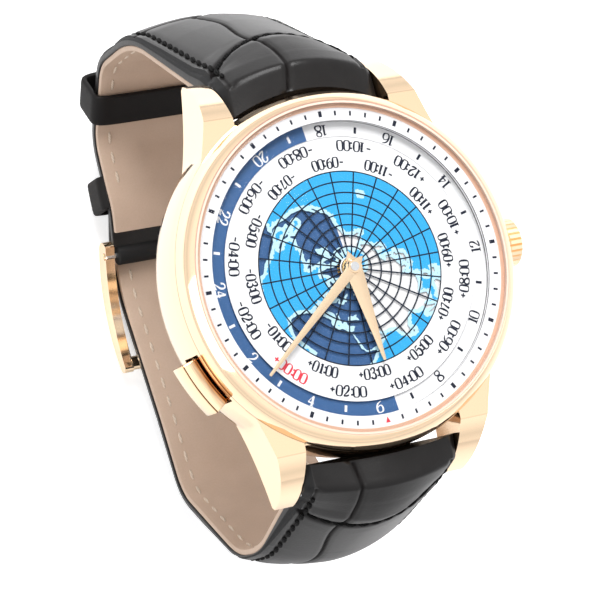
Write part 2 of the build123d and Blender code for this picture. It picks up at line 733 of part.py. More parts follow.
flutes = []
for flute in range(CROWN_FLUTES):
    pitch = 360 / CROWN_FLUTES
    flutes.append(polar(CROWN_R, pitch * (flute - 0.3)))
    flutes.append(polar(CROWN_R, pitch * (flute + 0.3)))
    flutes.append(polar(CROWN_R - 0.28, pitch * (flute + 0.5)))
with BuildPart() as crown:
    with BuildSketch(Plane.YZ.offset(CROWN_START)) as crown_plan:
        with Locations((0, CROWN_Z)):
            Polygon(*flutes, align=None)
    extrude(amount=CROWN_END - CROWN_START)
    with BuildSketch(Plane.XZ) as crown_turning:
        with BuildLine():
            Line((CROWN_START, CROWN_Z), (CROWN_START, CROWN_Z + 2.6))
            Line((CROWN_START, CROWN_Z + 2.6), (CROWN_START + 0.25, CROWN_Z + 2.85))
            Line((CROWN_START + 0.25, CROWN_Z + 2.85), (CROWN_END - 0.4, CROWN_Z + 2.85))
            ThreePointArc(
                (CROWN_END - 0.4, CROWN_Z + 2.85), (CROWN_END - 0.12, CROWN_Z + 2.5), (CROWN_END, CROWN_Z)
            )
            Line((CROWN_END, CROWN_Z), (CROWN_START, CROWN_Z))
        make_face()
    revolve(axis=Axis((0, 0, CROWN_Z), (1, 0, 0)), mode=Mode.INTERSECT)
    with BuildSketch(Plane.YZ.offset(CROWN_START)) as crown_hollow:
        with Locations((0, CROWN_Z)):
            Circle(1.3)
    extrude(amount=0.9, mode=Mode.SUBTRACT)
crown.part.label = "crown"
export_step(crown.part, "parts/crown.step")

STEM_START = 10.8
GROOVE_X = 11.4
with BuildPart() as winding_stem:
    with BuildSketch(Plane.XZ) as stem_profile:
        with BuildLine():
            Polyline(
                (STEM_START, CROWN_Z),
                (STEM_START, CROWN_Z + 0.65),
                (GROOVE_X - 0.2, CROWN_Z + 0.65),
                (GROOVE_X - 0.2, CROWN_Z + 0.4),
                (GROOVE_X + 0.2, CROWN_Z + 0.4),
                (GROOVE_X + 0.2, CROWN_Z + 0.65),
                (CROWN_START + 0.9, CROWN_Z + 0.65),
                (CROWN_START + 0.9, CROWN_Z),
                close=True,
            )
        make_face()
    revolve(axis=Axis((0, 0, CROWN_Z), (1, 0, 0)))
winding_stem.part.label = "winding_stem"
export_step(winding_stem.part, "parts/winding_stem.step")

# Setting lever: sits in the stem's groove and moves in and out with the crown.
with BuildPart() as setting_lever:
    with BuildSketch(Plane.YZ.offset(GROOVE_X - 0.15)) as lever_plan:
        with Locations((0, 5.1)):
            Rectangle(2.4, 1.4)
        with Locations((0, CROWN_Z)):
            Circle(0.45, mode=Mode.SUBTRACT)
        with Locations((0, 4.6)):
            Rectangle(0.9, 0.8, mode=Mode.SUBTRACT)
    extrude(amount=0.3)
setting_lever.part.label = "setting_lever"
export_step(setting_lever.part, "parts/setting_lever.step")

# Pusher: a wide key on a round stem, pressed in to step the world disc.
with BuildPart() as pusher:
    with BuildSketch(pusher_plane.offset(20)) as key_plan:
        RectangleRounded(PUSHER_WIDTH, PUSHER_HEIGHT, 0.5)
    extrude(amount=PUSHER_FACE - 20)
    key_rim = pusher.edges().filter_by_position(Axis((0, 0, 0), polar(1, PUSHER_ANGLE) + (0,)), 22.3, 22.5)
    chamfer(key_rim, 0.2)
    with BuildSketch(pusher_plane.offset(14.4)) as key_stem:
        Circle(0.8)
    extrude(amount=5.6)
pusher.part.label = "pusher"
export_step(pusher.part, "parts/pusher.step")

# Spring bars through the lugs.
for name, side in (("spring_bar_12", 1), ("spring_bar_6", -1)):
    with BuildPart() as spring_bar:
        with BuildSketch(Plane.YZ) as bar_body:
            with Locations((side * SPRING_BAR_Y, SPRING_BAR_Z)):
                Circle(SPRING_BAR_R)
        extrude(amount=LUG_INNER_X - 0.1, both=True)
        with BuildSketch(Plane.YZ) as bar_pins:
            with Locations((side * SPRING_BAR_Y, SPRING_BAR_Z)):
                Circle(0.45)
        extrude(amount=LUG_INNER_X + 1.2, both=True)
    spring_bar.part.label = name
    export_step(spring_bar.part, f"parts/{name}.step")

# Short strap: from 12 o'clock round the wrist to the fold over the buckle's bar.
SHORT_LINE = [
    (20.85, 1.6),
    (22.2, 1.2),
    (34.1, -19.9),
    (34.1, -31.8),
    (26.6, -39.2),
    (17.5, -38.7),
    (12.5, -41.1),
]
SHORT_RADII = [0.4, 20, 4.5, 4, 8]
SHORT_BACK = offset_path(SHORT_LINE, [0, 0] + [STRAP_THICK] * 5, 1)[2:]
SHORT_TOP = [(20.85, 7.0), (23.6, 6.9), (27.2, 1.8)]
short_band = band(SHORT_LINE, SHORT_TOP + SHORT_BACK, SHORT_RADII, [0.9, 2, 22, 6.5, 6, 6])
with BuildPart() as short_strap:
    with BuildSketch(Plane.YZ) as short_side:
        add(short_band)
        with Locations((BUCKLE_BAR_Y, BUCKLE_BAR_Z)):
            Circle(FOLD_R)
            Circle(BUCKLE_BAR_R, mode=Mode.SUBTRACT)
        with Locations((SPRING_BAR_Y, SPRING_BAR_Z)):
            Circle(SPRING_BAR_R + 0.05, mode=Mode.SUBTRACT)
    extrude(amount=STRAP_HALF_WIDTH, both=True)
    with BuildSketch(Plane.XY.offset(-50)) as short_taper:
        Polygon((9.3, 37), (-9.3, 37), (-9.3, 30), (-8.75, 10), (8.75, 10), (9.3, 30), align=None)
    extrude(amount=60, mode=Mode.INTERSECT)
    with BuildSketch(Plane.XY.offset(-50)) as tongue_slot:
        with Locations((0, 11.8)):
            Rectangle(2.2, 4.6)
    extrude(amount=20, mode=Mode.SUBTRACT)

LINING_SHORT = [(23.4, -0.93)] + SHORT_LINE[2:6] + [(14.3, -40.236)]
LINING_SHORT_BACK = offset_path(LINING_SHORT, [LINING] * 6, 1)
lining_short_band = band(LINING_SHORT, LINING_SHORT_BACK, SHORT_RADII[1:], [20.7, 5.2, 4.7, 7.3])
with BuildPart() as lining_12:
    with BuildSketch(Plane.YZ) as lining_side:
        add(lining_short_band)
    extrude(amount=STRAP_HALF_WIDTH, both=True)
    add(short_strap.part, mode=Mode.INTERSECT)
lining_12.part.label = "lining_12"
export_step(lining_12.part, "parts/lining_12.step")

with BuildPart() as strap_12:
    add(short_strap.part)
    add(lining_12.part, mode=Mode.SUBTRACT)
strap_12.part.label = "strap_12"
export_step(strap_12.part, "parts/strap_12.step")

# Long strap: from 6 o'clock, inside the crossbar, over the short strap and through the keepers.
LONG_LINE = [
    (-20.85, 1.6),
    (-21.9, 1.2),
    (-28.0, -13.5),
    (-28.0, -20.5),
    (-19.4, -35.0),
    (7.0, -44.3),
    (13.0, -44.4),
    (18.4, -41.2),
    (27.5, -41.7),
    (34.3, -34.8),
]
LONG_RADII = [0.4, 16, 10, 7, 8, 6, 6, 6]
LONG_BACK = offset_path(LONG_LINE, [0, 0, 0] + [STRAP_THICK] * 7, -1)[3:]
LONG_TOP = [(-20.85, 7.0), (-23.6, 6.9), (-26.4, 1.8), (-30.05, -13.2)]
long_band = band(LONG_LINE, LONG_TOP + LONG_BACK, LONG_RADII, [0.9, 2, 18, 12, 9, 10, 8, 4, 8])
with BuildPart() as long_strap:
    with BuildSketch(Plane.YZ) as long_side:
        add(long_band)
        with Locations((-SPRING_BAR_Y, SPRING_BAR_Z)):
            Circle(SPRING_BAR_R + 0.05, mode=Mode.SUBTRACT)
    extrude(amount=STRAP_HALF_WIDTH, both=True)
    with BuildSketch(Plane.XY.offset(-50)) as long_taper:
        with BuildLine():
            Polyline((-8.1, 31), (-9.0, -10), (-9.3, -25), (-9.3, -35), (9.3, -35))
            Polyline((9.3, -35), (9.3, -25), (9.0, -10), (8.1, 31))
            ThreePointArc((8.1, 31), (0, 36.4), (-8.1, 31))
        make_face()
    extrude(amount=60, mode=Mode.INTERSECT)
    with BuildSketch(Plane.XY.offset(-50)) as strap_holes:
        with Locations((0, 10.6)):
            SlotOverall(3.6, 2.4, rotation=90)
        with Locations((0, 3.6), (0, 17.6)):
            Circle(0.8)
    extrude(amount=12, mode=Mode.SUBTRACT)

LINING_LONG = [(-23.3, -2.173)] + LONG_LINE[2:]
LINING_LONG_BACK = offset_path(LINING_LONG, [LINING] * 9, -1)
lining_long_band = band(LINING_LONG, LINING_LONG_BACK, LONG_RADII[1:], [16.7, 10.7, 7.7, 8.7, 6.7, 5.3, 6.7])
with BuildPart() as lining_6:
    with BuildSketch(Plane.YZ) as lining_6_side:
        add(lining_long_band)
    extrude(amount=STRAP_HALF_WIDTH, both=True)
    add(long_strap.part, mode=Mode.INTERSECT)
lining_6.part.label = "lining_6"
export_step(lining_6.part, "parts/lining_6.step")

with BuildPart() as strap_6:
    add(long_strap.part)
    add(lining_6.part, mode=Mode.SUBTRACT)
strap_6.part.label = "strap_6"
export_step(strap_6.part, "parts/strap_6.step")

# Fixed keeper: a leather loop sewn to the short strap's edges, round the long strap.
with BuildPart() as keeper_fixed:
    with BuildSketch(Plane.XZ.offset(-17.7)) as fixed_plan:
        with Locations((0, -42.3)):
            RectangleRounded(20.4, 6.4, 0.7)
        with Locations((0, -41.4)):
            Rectangle(17.7, 6.0, mode=Mode.SUBTRACT)
        with Locations((0, -38.7)):
            Rectangle(21, 2.2, mode=Mode.SUBTRACT)
    extrude(amount=-4.3)
    add(short_strap.part, mode=Mode.SUBTRACT)
keeper_fixed.part.label = "keeper_fixed"
export_step(keeper_fixed.part, "parts/keeper_fixed.step")

# Floating keeper: a closed leather loop round both straps, on the straight before the bend.
KEEPER_MIDDLE = (30.35, -35.5)
keeper_plane = Plane(origin=(0,) + KEEPER_MIDDLE, x_dir=(1, 0, 0), z_dir=(0, 7.5, 7.4))
with BuildPart() as keeper_floating:
    with BuildSketch(keeper_plane.offset(-2.4)) as floating_plan:
        with Locations((0, 2.2)):
            RectangleRounded(21.1, 7.1, 1.6)
            RectangleRounded(19.1, 5.1, 0.7, mode=Mode.SUBTRACT)
    extrude(amount=4.8)
keeper_floating.part.label = "keeper_floating"
export_step(keeper_floating.part, "parts/keeper_floating.step")

# Buckle: a frame that turns on the bar in the fold, with its tongue through the strap's hole.
with BuildPart() as buckle_bar:
    with BuildSketch(Plane.YZ) as buckle_bar_end:
        with Locations((BUCKLE_BAR_Y, BUCKLE_BAR_Z)):
            Circle(BUCKLE_BAR_R)
    extrude(amount=ARM_OUTER_X - 0.2, both=True)
buckle_bar.part.label = "buckle_bar"
export_step(buckle_bar.part, "parts/buckle_bar.step")

with BuildPart() as buckle_frame:
    with BuildSketch(Plane.YZ.offset(ARM_INNER_X)) as arm_side:
        with BuildLine():
            ThreePointArc((12.9, -41.5), (5.2, -44.3), (-2.4, -43.7))
            ThreePointArc((-2.4, -43.7), (-3.0, -44.7), (-2.3, -45.6))
            ThreePointArc((-2.3, -45.6), (5.2, -46.9), (13.3, -44.1))
            ThreePointArc((13.3, -44.1), (13.9, -42.6), (12.9, -41.5))
        make_face()
        with Locations((BUCKLE_BAR_Y, BUCKLE_BAR_Z)):
            Circle(BUCKLE_BAR_R + 0.05, mode=Mode.SUBTRACT)
    extrude(amount=ARM_OUTER_X - ARM_INNER_X)
    mirror(about=Plane.YZ)
    with BuildSketch(Plane.YZ) as crossbar:
        with Locations((CROSSBAR_Y, CROSSBAR_Z)):
            Circle(CROSSBAR_R)
    extrude(amount=ARM_INNER_X + 0.1, both=True)
buckle_frame.part.label = "buckle_frame"
export_step(buckle_frame.part, "parts/buckle_frame.step")

with BuildPart() as buckle_tongue:
    with BuildSketch(Plane.YZ) as tongue_side:
        with BuildLine():
            Polyline(
                (11.4, -43.0),
                (12.1, -43.2),
                (11.5, -46.2),
                (10.2, -47.4),
                (5.0, -47.4),
                (-2.8, -46.55),
                (-3.0, -46.05),
                (-2.6, -45.8),
                (5.0, -46.65),
                (9.8, -46.7),
                (10.6, -46.0),
                close=True,
            )
        make_face()
        with Locations((BUCKLE_BAR_Y, BUCKLE_BAR_Z)):
            Circle(1.0)
            Circle(BUCKLE_BAR_R + 0.05, mode=Mode.SUBTRACT)
    extrude(amount=0.7, both=True)
buckle_tongue.part.label = "buckle_tongue"
export_step(buckle_tongue.part, "parts/buckle_tongue.step")
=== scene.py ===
import json
import math

import bmesh
import bpy
import numpy as np
from mathutils import Matrix, Vector


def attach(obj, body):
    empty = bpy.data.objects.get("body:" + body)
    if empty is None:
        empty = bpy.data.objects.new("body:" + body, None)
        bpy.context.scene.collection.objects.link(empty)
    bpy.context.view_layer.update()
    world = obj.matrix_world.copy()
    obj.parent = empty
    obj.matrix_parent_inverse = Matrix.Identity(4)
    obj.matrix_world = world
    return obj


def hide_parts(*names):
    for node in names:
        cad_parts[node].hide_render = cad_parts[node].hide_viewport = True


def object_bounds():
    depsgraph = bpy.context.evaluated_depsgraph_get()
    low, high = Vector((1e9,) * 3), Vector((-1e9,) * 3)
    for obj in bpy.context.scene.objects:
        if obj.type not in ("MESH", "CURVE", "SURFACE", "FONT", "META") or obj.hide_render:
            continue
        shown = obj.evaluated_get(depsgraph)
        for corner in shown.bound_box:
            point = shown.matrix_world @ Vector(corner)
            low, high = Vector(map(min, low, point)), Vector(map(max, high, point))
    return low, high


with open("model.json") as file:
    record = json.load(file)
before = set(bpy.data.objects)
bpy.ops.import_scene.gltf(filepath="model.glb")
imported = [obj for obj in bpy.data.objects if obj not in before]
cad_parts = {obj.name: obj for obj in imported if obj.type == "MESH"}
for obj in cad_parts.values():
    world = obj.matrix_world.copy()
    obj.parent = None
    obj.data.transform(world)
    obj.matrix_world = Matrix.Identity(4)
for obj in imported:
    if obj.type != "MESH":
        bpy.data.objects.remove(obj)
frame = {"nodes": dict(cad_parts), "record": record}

cad_box = [list(corner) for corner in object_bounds()]

# Camera. It stands where the photograph was taken from, above the dial and to
# its left, as found from the sixty minute marks.
camera_data = bpy.data.cameras.new("camera")
camera_data.sensor_width = 36.0
camera_data.lens = 147.38
camera_data.clip_start = 0.02
camera = bpy.data.objects.new("camera", camera_data)
to_right = Vector((0.906813, -0.215102, 0.362520))
to_foot = Vector((-0.169144, -0.973410, -0.154477))
ahead = Vector((0.386109, 0.078764, -0.919085))
camera_turn = Matrix((to_right, -to_foot, -ahead)).transposed().to_4x4()
camera.matrix_world = Matrix.Translation((-0.11018, -0.02355, 0.25521)) @ camera_turn
bpy.context.scene.collection.objects.link(camera)
bpy.context.scene.camera = camera
bpy.context.scene.view_settings.view_transform = "Standard"

# Studio. A plain white table under the watch, one large soft lamp over it, a
# weaker one from the left, and a white room that the polished metal mirrors.


class Field:
    """A value that varies over a surface, so that shader sums read as sums."""

    def __init__(self, finish, socket):
        self.finish, self.socket = finish, socket

    def _math(self, operation, *values):
        return self.finish.node("ShaderNodeMath", {"operation": operation}, dict(enumerate(values)))

    def __add__(self, other):
        return self._math("ADD", self, other)

    def __sub__(self, other):
        return self._math("SUBTRACT", self, other)

    def __rsub__(self, other):
        return self._math("SUBTRACT", other, self)

    def __mul__(self, other):
        return self._math("MULTIPLY", self, other)

    def __pow__(self, other):
        return self._math("POWER", self, other)

    def __lt__(self, other):
        return self._math("LESS_THAN", self, other)

    def __gt__(self, other):
        return self._math("GREATER_THAN", self, other)

    def __abs__(self):
        return self._math("ABSOLUTE", self)

    __radd__ = __add__
    __rmul__ = __mul__

    def output(self, name):
        return Field(self.finish, self.socket.node.outputs[name])

    def wave(self):
        return self._math("SINE", self)

    def angle_to(self, across):
        return self._math("ARCTAN2", self, across)

    def between(self, low, high):
        return self.finish.node("ShaderNodeMapRange", {}, {0: self, 1: low, 2: high, 3: 0.0, 4: 1.0})


class Finish:
    """One procedural material, made from Principled and the nodes added to it."""

    def __init__(self, name, owner=None, shader="Principled BSDF"):
        self.material = owner or bpy.data.materials.new(name)
        self.material.use_nodes = True
        self.tree = self.material.node_tree
        self.shader = self.tree.nodes[shader]

    def node(self, kind, settings=(), inputs=(), output=0):
        made = self.tree.nodes.new(kind)
        for key, value in dict(settings).items():
            if key == "stops":
                for _ in range(len(value) - 2):
                    made.color_ramp.elements.new(0.5)
                for element, (place, colour) in zip(made.color_ramp.elements, value):
                    element.position, element.color = place, colour
            else:
                setattr(made, key, value)
        self.join(made, inputs)
        return Field(self, made.outputs[output])

    def join(self, made, inputs):
        for key, value in dict(inputs).items():
            if isinstance(value, Field):
                self.tree.links.new(value.socket, made.inputs[key])
            else:
                made.inputs[key].default_value = value

    def place(self):
        """x, y and z on the piece, in millimetres."""
        metres = self.node("ShaderNodeTexCoord", output=3)
        return self.parts(self.node("ShaderNodeVectorMath", {"operation": "SCALE"}, {0: metres, 3: 1000.0}))

    def parts(self, vector):
        split = self.node("ShaderNodeSeparateXYZ", (), {0: vector})
        return [Field(self, out) for out in split.socket.node.outputs]

    def joined(self, x, y, z):
        return self.node("ShaderNodeCombineXYZ", (), {0: x, 1: y, 2: z})

    def noise(self, vector, scale, detail=3.0, rough=0.5):
        inputs = {"Vector": vector, "Scale": scale, "Detail": detail, "Roughness": rough}
        return self.node("ShaderNodeTexNoise", (), inputs)

    def mix(self, factor, first, second):
        return self.node("ShaderNodeMix", {"data_type": "RGBA"}, {0: factor, 6: first, 7: second}, 2)

    def bump(self, height, distance, strength=1.0):
        inputs = {"Height": height, "Distance": distance, "Strength": strength}
        return self.node("ShaderNodeBump", (), inputs)

    def dull(self, share, tone):
        """Part of the surface matt, so that its shine is weaker even at a glance along it."""
        shiny = Field(self, self.shader.outputs[0])
        matt = self.node("ShaderNodeBsdfDiffuse", (), {"Color": tone})
        mixed = self.node("ShaderNodeMixShader", (), {0: share, 1: shiny, 2: matt})
        self.join(self.tree.nodes["Material Output"], {"Surface": mixed})

    def set(self, **sockets):
        """Principled's sockets, with _ for a space in their names."""
        self.join(self.shader, {key.replace("_", " "): value for key, value in sockets.items()})
        return self


table_z = cad_box[0][2] - 0.0002
paper = Finish("paper")
ray = paper.node("ShaderNodeLightPath")
glow = (ray + ray.output("Is Transmission Ray")) * 0.55 + ray.output("Is Glossy Ray") * 0.15
paper.set(Base_Color=(0.9, 0.9, 0.9, 1), Roughness=0.9, Specular_IOR_Level=0.1)
paper.set(Emission_Color=(1, 1, 1, 1), Emission_Strength=glow)
table_top = bmesh.new()
bmesh.ops.create_grid(table_top, x_segments=1, y_segments=1, size=1.5)
bmesh.ops.translate(table_top, verts=table_top.verts, vec=(0, 0, table_z))
table_mesh = bpy.data.meshes.new("table")
table_top.to_mesh(table_mesh)
table_top.free()
table_mesh.materials.append(paper.material)
table = bpy.data.objects.new("table", table_mesh)
bpy.context.scene.collection.objects.link(table)

room = Finish("room", bpy.data.worlds.new("room"), "Background")
bpy.context.scene.world = room.material
upward = room.parts(room.node("ShaderNodeTexCoord"))[2]
greys = ((0.0, 1.0), (0.14, 0.85), (0.4, 1.2), (0.78, 1.2), (1.0, 1.55))
stops = [(place, (grey, grey, grey, 1)) for place, grey in greys]
walls = room.node("ShaderNodeValToRGB", {"stops": stops}, {0: upward})
ray = room.node("ShaderNodeLightPath")
lit = room.mix(ray.output("Is Glossy Ray"), (0.55, 0.55, 0.56, 1), walls)
room.set(Color=room.mix(ray, lit, (1, 1, 1, 1)))


def soft_lamp(name, at, towards, size, watts):
    """A square lamp of this size in metres, aimed at a point."""
    data = bpy.data.lights.new(name, "AREA")
    data.size = size
    data.energy = watts
    lamp = bpy.data.objects.new(name, data)
    aimed = (Vector(towards) - Vector(at)).to_track_quat("-Z", "Y").to_matrix().to_4x4()
    lamp.matrix_world = Matrix.Translation(at) @ aimed
    bpy.context.scene.collection.objects.link(lamp)


soft_lamp("overhead", (-0.02, 0.43, 0.50), (0, 0, 0), 0.4, 5.2)
soft_lamp("left", (-0.55, -0.10, 0.30), (0, 0, -0.01), 0.5, 1.3)

# Rose gold. The case, crown, pusher, hands and buckle are solid 18 carat alloy,
# mirror polished, with a trace of fine wiping marks.


def rose_gold(name, roughness=0.05, depth=1.0):
    """Polished gold with wiping marks; depth below 1 darkens it, as painted shade."""
    gold = Finish(name)
    x, y, z = gold.place()
    fine = gold.noise(gold.joined(x, y, z * 3.0), 1.7, 4.0)
    tints = (1.0, 0.745, 0.50), (1.0, 0.78, 0.545)
    deep, pale = ([depth * part for part in tint] + [1] for tint in tints)
    marks = gold.noise(gold.joined(x * 0.6, y * 0.6, z * 9.0), 3.0, 5.0, 0.7)
    gold.set(Base_Color=gold.mix(fine, deep, pale), Metallic=1.0, Roughness=roughness + marks * 0.1)
    return gold.set(Normal=gold.bump(marks, 0.000002, 0.3))


gold_polish = rose_gold("rose_gold_polished")

# Case. Band and lugs are one forging, the bezel is pressed on over the crystal's
# gasket, and the ring of the back is held by six screws. The fluted crown turns on
# a tube in the band.


def finish_piece(bm, name, body, finish, stands_for=(), angle=35):
    """The mesh, in millimetres, as a piece that is smooth across edges of up to angle degrees."""
    bmesh.ops.scale(bm, vec=(0.001, 0.001, 0.001), verts=bm.verts)
    bmesh.ops.recalc_face_normals(bm, faces=bm.faces)
    for face in bm.faces:
        face.smooth = True
    for edge in bm.edges:
        edge.smooth = len(edge.link_faces) == 2 and edge.calc_face_angle(0) < math.radians(angle)
    mesh = bpy.data.meshes.new(name)
    bm.to_mesh(mesh)
    bm.free()
    for one in finish if isinstance(finish, list) else [finish]:
        mesh.materials.append(one.material)
    piece = bpy.data.objects.new(name, mesh)
    bpy.context.scene.collection.objects.link(piece)
    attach(piece, body)
    if stands_for:
        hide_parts(*stands_for)
    return piece


def solid_of(node):
    """A merged copy of a CAD node's triangles, in millimetres."""
    bm = bmesh.new()
    bm.from_mesh(frame["nodes"][node].data)
    bmesh.ops.scale(bm, vec=(1000, 1000, 1000), verts=bm.verts)
    bmesh.ops.remove_doubles(bm, verts=bm.verts, dist=2e-4)
    bmesh.ops.dissolve_degenerate(bm, dist=1e-5, edges=bm.edges)
    return bm


body_of_node = {}
for body, nodes in frame["record"]["behaviour"]["bodies"].items():
    for node in nodes:
        body_of_node[node] = body


def polished(node, finish, angle=35):
    """A CAD node whose shape is right, with its curved faces made smooth."""
    finish_piece(solid_of(node), node + "_finished", body_of_node[node], finish, [node], angle)


def grained(name, scale, first, second, roughness, spread=0.0, **sockets):
    """A plain material whose tone, and gloss by spread, vary a little from place to place."""
    finish = Finish(name)
    grain = finish.noise(finish.joined(*finish.place()), scale)
    rough = roughness + grain * spread if spread else roughness
    return finish.set(Base_Color=finish.mix(grain, first, second), Roughness=rough, **sockets)


def radius_of(x, y):
    return (x * x + y * y) ** 0.5


case_gold = rose_gold("rose_gold_case")
lug_top, lug_root = 8.02, 13.0
x, y, z = case_gold.place()
# Painted shade: the tops of the lugs get a darker copy of the case gold.
lug_top_shade = (z > lug_top) * (abs(y) > lug_root)
case_gold.set(Base_Color=case_gold.mix(lug_top_shade, (1.0, 0.76, 0.52, 1), (0.86, 0.62, 0.41, 1)))
polished("mid_case", case_gold, 28)
bezel_gold = rose_gold("rose_gold_bezel")
bezel_mouth, bezel_rim, bezel_foot = 18.72, 19.9, 8.42
x, y, z = bezel_gold.place()
# Painted shade: the inner bevel round the crystal is a matt orange, and the foot of the outer face, by the
# seam with the band, is painted dark brown.
inner = radius_of(x, y) < bezel_mouth
seam = (z < bezel_foot) * (radius_of(x, y) > bezel_rim)
tone = bezel_gold.mix(seam, (1.0, 0.76, 0.52, 1), (0.50, 0.33, 0.20, 1))
bezel_gold.set(Base_Color=bezel_gold.mix(inner, tone, (0.90, 0.56, 0.40, 1)))
bezel_gold.set(Metallic=1 - inner * 0.7, Roughness=0.08 + inner * 0.35)
polished("bezel", bezel_gold, 40)
polished("case_back", gold_polish, 30)
polished("crown", rose_gold("rose_gold_crown", 0.25), 25)
polished("crown_tube", gold_polish, 30)

rubber = grained("gasket_rubber", 6.0, (0.02, 0.02, 0.02, 1), (0.04, 0.04, 0.04, 1), 0.55, 0.2)
polished("back_gasket", rubber)
# The crystal's gasket is pale nylon, tinted pink-gold as a painted reflection of the bezel seen at the
# crystal's edge.
nylon_gold_reflection = grained("pale_nylon_gold_reflection", 5.0, (0.82, 0.60, 0.48, 1), (0.90, 0.70, 0.58, 1), 0.4, 0.1)
squeezed = solid_of("crystal_gasket")
bmesh.ops.scale(squeezed, vec=(0.9985, 0.9985, 1), verts=squeezed.verts)
bmesh.ops.translate(squeezed, vec=(0, 0, 0.04), verts=squeezed.verts)
finish_piece(squeezed, "crystal_gasket_ring", "case", nylon_gold_reflection, ["crystal_gasket"])

# Pusher. A curved bar of gold that follows the band, rounded on top, with a fine
# groove at its outer edge; it turns the world disc. Its inner part carries a painted
# dark reflection of the case, and its groove is painted shade.


def turn_round(bm, axis, degrees, verts):
    """Turns these vertices about a line through the centre, along axis."""
    turn = Matrix.Rotation(math.radians(degrees), 3, axis)
    bmesh.ops.rotate(bm, cent=(0, 0, 0), matrix=turn, verts=verts)


pusher_turn, pusher_z, pusher_span = 206.5, 6.0, 16.2
groove_radius = 22.25
pusher_half = [
    (20.15, 0.0), (20.15, 1.4), (20.4, 1.52), (20.9, 1.64), (21.5, 1.7), (22.0, 1.66), (22.18, 1.62),
    (22.22, 1.5), (22.28, 1.5), (22.32, 1.6), (22.37, 1.54), (22.4, 1.45), (22.4, 0.0),
]
pusher_side = pusher_half + [(reach, -rise) for reach, rise in reversed(pusher_half[1:-1])]
button = bmesh.new()
button.faces.new([button.verts.new((reach, 0, pusher_z + rise)) for reach, rise in pusher_side])
profile = button.faces[:] + button.edges[:] + button.verts[:]
bmesh.ops.spin(
    button, geom=profile, cent=(0, 0, 0), axis=(0, 0, 1), angle=math.radians(pusher_span), steps=18
)
rims = [edge for face in button.faces if len(face.verts) > 4 for edge in face.edges]
bmesh.ops.bevel(button, geom=rims, offset=0.12, segments=2, profile=0.5, affect="EDGES", material=-1)
turn_round(button, "Z", -pusher_span / 2, button.verts)
stem = bmesh.ops.create_cone(
    button, cap_ends=True, segments=32, radius1=0.8, radius2=0.8, depth=5.9
)["verts"]
turn_round(button, "Y", 90, stem)
bmesh.ops.translate(button, vec=(17.35, 0, pusher_z), verts=stem)
turn_round(button, "Z", pusher_turn, button.verts)
pusher_gold = rose_gold("rose_gold_pusher")
x, y, z = pusher_gold.place()
reach = radius_of(x, y)
# Painted reflection: the inner part is painted dark brown with a ragged edge, and the groove is painted
# dark as painted shade.
shade_edge_noise = pusher_gold.noise(pusher_gold.joined(reach * 3.0, y.angle_to(x) * 6.0, 0.0), 1.6, 3.0)
shaded = 1 - (reach + shade_edge_noise * 0.7).between(20.9, 22.1)
groove_shade = abs(reach - groove_radius) < 0.06
tone = pusher_gold.mix(shaded, (0.92, 0.70, 0.46, 1), (0.27, 0.085, 0.014, 1))
pusher_gold.set(Base_Color=pusher_gold.mix(groove_shade, tone, (0.30, 0.13, 0.04, 1)))
finish_piece(button, "pusher_bar", "pusher", pusher_gold, ["pusher"], 24)

# Crystals. Domed sapphire over the dial and flat sapphire in the back, both
# coated against reflections, so that they hardly show.
sapphire = Finish("coated_sapphire")
bevel_radius, movement_top = 17.9, 5.0
x, y, z = sapphire.place()
film = sapphire.noise(sapphire.joined(x, y, z), 0.4)
bevelled = (radius_of(x, y) > bevel_radius) * (z > movement_top)
sapphire.set(Base_Color=(0.03, 0.03, 0.03, 1), Roughness=0.03 + film * 0.02)
sapphire.set(Alpha=0.02 + film * 0.01 + bevelled * 0.1)
dome_foot, clearance = 10.02, 0.06
dome = solid_of("crystal")
bmesh.ops.scale(dome, vec=(0.998, 0.998, 1), verts=dome.verts)
lowest = [vert for vert in dome.verts if vert.co.z < dome_foot]
bmesh.ops.translate(dome, vec=(0, 0, clearance), verts=lowest)
finish_piece(dome, "crystal_dome", "case", sapphire, ["crystal"], 40)
polished("back_crystal", sapphire, 40)

# Minute ring. A white lacquered ring under the crystal's rim, with a printed mark
# for each minute, bold at each five, and a red triangle in place of one at 6 o'clock.
lacquer = Finish("white_lacquer")
x, y, z = lacquer.place()
speck = lacquer.noise(lacquer.joined(x, y, z), 3.0)
# Painted shade: two dark bands on the ring's inner wall, where the step down to the 24 hour ring lies in
# shade.
wall_radius, upper_shade_z, lower_shade_z = 16.56, 9.76, 9.26
wall_shade_lines = (abs(z - upper_shade_z) < 0.1) + (abs(z - lower_shade_z) < 0.13)
painted_wall_shade = (radius_of(x, y) < wall_radius) * wall_shade_lines
white = lacquer.mix(speck, (0.84, 0.84, 0.86, 1), (0.90, 0.90, 0.91, 1))
lacquer.set(Base_Color=lacquer.mix(painted_wall_shade, white, (0.025, 0.022, 0.02, 1)), Roughness=0.3 + speck * 0.1)
polished("flange_ring", lacquer, 30)

ink = grained(
    "dark_ink", 9.0, (0.006, 0.009, 0.022, 1), (0.016, 0.02, 0.036, 1), 0.45, Specular_IOR_Level=0.2
)
red_ink = grained("red_ink", 9.0, (0.62, 0.02, 0.04, 1), (0.75, 0.04, 0.07, 1), 0.45)

flange_top = 9.9


def raise_copy(bm, height):
    """Makes the flat faces a solid of this height and gives back the vertices of its far face."""
    made = bmesh.ops.extrude_face_region(bm, geom=bm.faces[:])["geom"]
    verts = [one for one in made if isinstance(one, bmesh.types.BMVert)]
    bmesh.ops.translate(bm, vec=(0, 0, height), verts=verts)
    return verts


def printed_bar(bm, length, width, at, degrees):
    """A short printed mark, lying outwards from the centre, with its middle at (radius, height)."""
    verts = bmesh.ops.create_cube(bm, size=1)["verts"]
    bmesh.ops.scale(bm, vec=(length, width, 0.02), verts=verts)
    bmesh.ops.translate(bm, vec=(at[0], 0, at[1]), verts=verts)
    turn_round(bm, "Z", degrees, verts)


